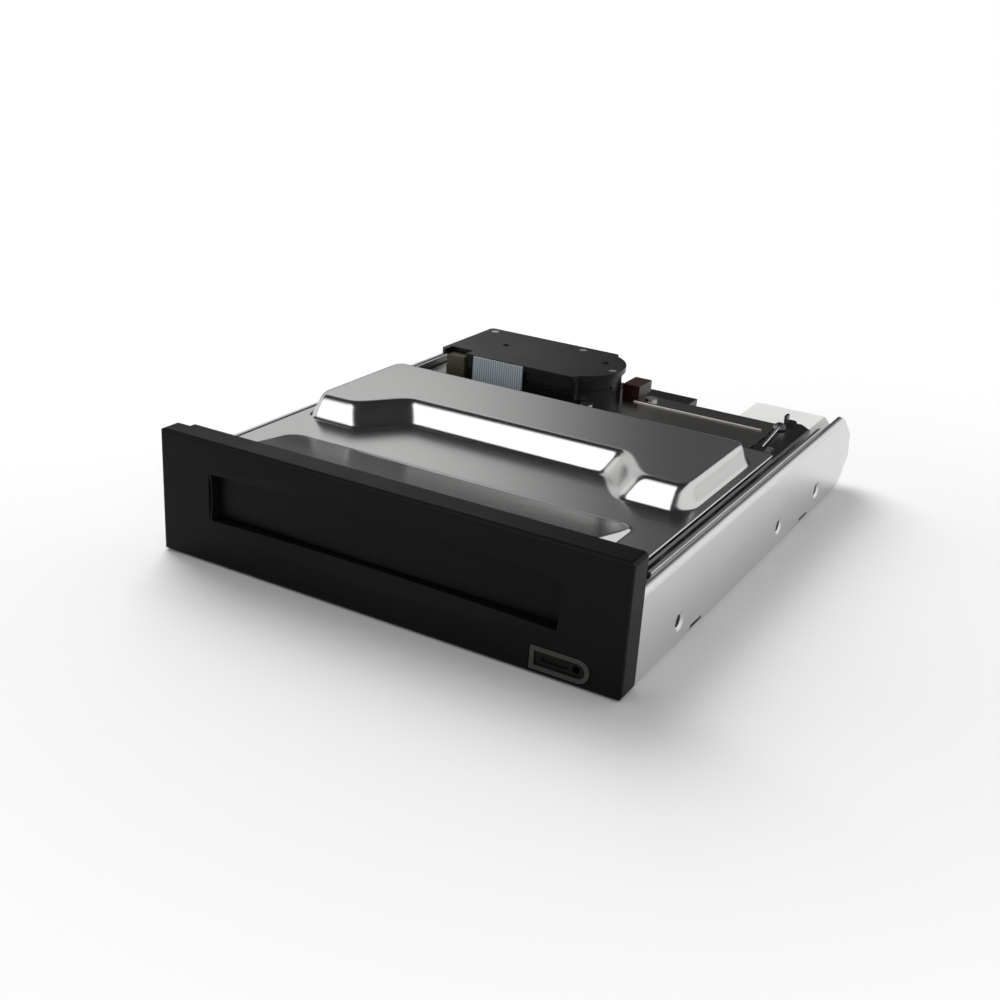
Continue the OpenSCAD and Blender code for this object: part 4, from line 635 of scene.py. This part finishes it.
def put_softbox(light):
    """A softbox whose glow falls to nothing at its edges, on a smooth step of the distance from the
    nearest edge."""
    turn, rise = np.meshgrid(np.linspace(*SOFTBOX_BEARINGS, 49), np.linspace(*SOFTBOX_RISES, 49))
    from_side = np.minimum(turn - SOFTBOX_BEARINGS[0], SOFTBOX_BEARINGS[1] - turn)
    from_end = np.minimum(rise - SOFTBOX_RISES[0], SOFTBOX_RISES[1] - rise)
    step = np.clip(np.minimum(from_side, from_end) / SOFTBOX_FADE, 0.0, 1.0)
    glow = light.softbox * step * step * (3 - 2 * step)
    mesh = dome_mesh("card_front", SOFTBOX_DISTANCE, turn, rise)
    attribute = mesh.attributes.new("glow", "FLOAT", "POINT")
    attribute.data.foreach_set("value", glow.astype(np.float32).ravel())
    mat, tree, strength = card_glow("card_front", light.softbox)
    source = add_node(tree, "ShaderNodeAttribute", attribute_name="glow")
    tree.links.new(source.outputs["Fac"], strength)
    put_card("card_front", mesh, mat)


def floor_finish():
    """A white floor that keeps the shadow near the object and is plain white to the camera further off."""
    mat, tree, matt = start_material("floor")
    matt.inputs["Base Color"].default_value = (0.96, 0.96, 0.96, 1)
    matt.inputs["Roughness"].default_value = 0.9
    matt.inputs["Specular IOR Level"].default_value = 0.0
    white = add_node(tree, "ShaderNodeEmission", {"Color": (1, 1, 1, 1)})
    distance = add_node(tree, "ShaderNodeVectorMath", operation="LENGTH")
    tree.links.new(object_coords(tree), distance.inputs[0])
    far = spread(tree, distance.outputs["Value"], 0.0, 1.0, SHADOW_KEPT, SHADOW_GONE, "SMOOTHSTEP")
    path = add_node(tree, "ShaderNodeLightPath")
    mix = add_node(tree, "ShaderNodeMixShader")
    tree.links.new(combined(tree, "MULTIPLY", path.outputs["Is Camera Ray"], far), mix.inputs["Fac"])
    tree.links.new(matt.outputs["BSDF"], mix.inputs[1])
    tree.links.new(white.outputs["Emission"], mix.inputs[2])
    tree.links.new(mix.outputs["Shader"], tree.nodes["Material Output"].inputs["Surface"])
    return mat


def put_floor():
    """A flat square, just below the drive."""
    span = np.linspace(-FLOOR_HALF, FLOOR_HALF, 5)
    x, y = np.meshgrid(span, span)
    put_stage("floor", grid_mesh("floor", x, y, np.full_like(x, FLOOR_LEVEL)), floor_finish())


def put_camera(scene):
    """The camera's axes are worked out level from its azimuth and elevation, then rolled."""
    back = Vector((math.sin(AZIMUTH) * math.cos(ELEVATION), -math.cos(AZIMUTH) * math.cos(ELEVATION),
                   math.sin(ELEVATION)))
    right = Vector((math.cos(AZIMUTH), math.sin(AZIMUTH), 0))
    up = back.cross(right)
    right_rolled = math.cos(ROLL) * right + math.sin(ROLL) * up
    up_rolled = math.cos(ROLL) * up - math.sin(ROLL) * right
    data = bpy.data.cameras.new("camera")
    data.lens, data.sensor_width = LENS, SENSOR
    data.clip_start, data.clip_end = 0.01, 20
    camera = bpy.data.objects.new("camera", data)
    turn = Matrix((right_rolled, up_rolled, back)).transposed().to_4x4()
    camera.matrix_world = Matrix.Translation(CAMERA_PLACE) @ turn
    scene.collection.objects.link(camera)
    scene.camera = camera


def put_world(scene, ambient):
    """A world that is white to the camera, in gloss and through clear pieces, and dimmer as light."""
    world = bpy.data.worlds.new("studio")
    scene.world = world
    world.use_nodes = True
    tree = world.node_tree
    path = add_node(tree, "ShaderNodeLightPath").outputs
    seen = combined(tree, "MAXIMUM", path["Is Camera Ray"], path["Is Glossy Ray"])
    clear = combined(tree, "MAXIMUM", seen, path["Is Transmission Ray"])
    background = tree.nodes["Background"]
    background.inputs["Color"].default_value = (1, 1, 1, 1)
    tree.links.new(spread(tree, clear, ambient, 1.0, 0.0, 1.0), background.inputs["Strength"])


def put_lamp(name, place, size, power):
    """A square lamp that faces the drive and isn't seen in gloss."""
    data = bpy.data.lights.new(name, "AREA")
    data.shape = "RECTANGLE"
    data.size = data.size_y = size
    data.energy = power
    lamp = bpy.data.objects.new(name, data)
    aim = (Vector(LAMP_TARGET) - Vector(place)).to_track_quat("-Z", "Y").to_matrix().to_4x4()
    lamp.matrix_world = Matrix.Translation(place) @ aim
    bpy.context.scene.collection.objects.link(lamp)
    lamp.visible_glossy = False


class DRIVE_OT_stage(bpy.types.Operator):
    """Sets the floor, the cards, the light and the camera"""
    bl_idname = "drive.stage"
    bl_label = "Stage"

    def execute(self, context):
        scene = context.scene
        light = scene.drive_light
        scene.view_settings.view_transform = "Standard"
        put_camera(scene)
        put_floor()
        put_wall(light)
        put_ceiling(light)
        put_softbox(light)
        put_world(scene, light.ambient)
        # the key lamp stands behind on the left, so the shadow falls to the front right
        put_lamp("key", KEY_PLACE, KEY_SIZE, light.key)
        put_lamp("fill", FILL_PLACE, FILL_SIZE, light.fill)
        return {"FINISHED"}


STEPS = (DRIVE_OT_finishes, DRIVE_OT_cover, DRIVE_OT_edges, DRIVE_OT_stage)


class DRIVE_PT_panel(bpy.types.Panel):
    """The drive's sizes, colours and makers"""
    bl_label = "Disk Drive"
    bl_idname = "DRIVE_PT_panel"
    bl_space_type = "VIEW_3D"
    bl_region_type = "UI"
    bl_category = "Disk Drive"

    def draw(self, context):
        column = self.layout.column()
        scene = context.scene
        for group in (scene.drive_cover, scene.drive_colours, scene.drive_light):
            for name in group.__annotations__:
                column.prop(group, name)
        for step in STEPS:
            column.operator(step.bl_idname)


CLASSES = (CoverSizes, DriveColours, StudioLight) + STEPS + (DRIVE_PT_panel,)


def register():
    for cls in CLASSES:
        bpy.utils.register_class(cls)
    bpy.types.Scene.drive_cover = PointerProperty(type=CoverSizes)
    bpy.types.Scene.drive_colours = PointerProperty(type=DriveColours)
    bpy.types.Scene.drive_light = PointerProperty(type=StudioLight)


def unregister():
    del bpy.types.Scene.drive_light
    del bpy.types.Scene.drive_colours
    del bpy.types.Scene.drive_cover
    for cls in reversed(CLASSES):
        bpy.utils.unregister_class(cls)


def main():
    register()
    bpy.ops.drive.finishes()
    bpy.ops.drive.cover()
    bpy.ops.drive.edges()
    bpy.ops.drive.stage()
    bpy.context.view_layer.update()


if __name__ == "__main__":
    main()
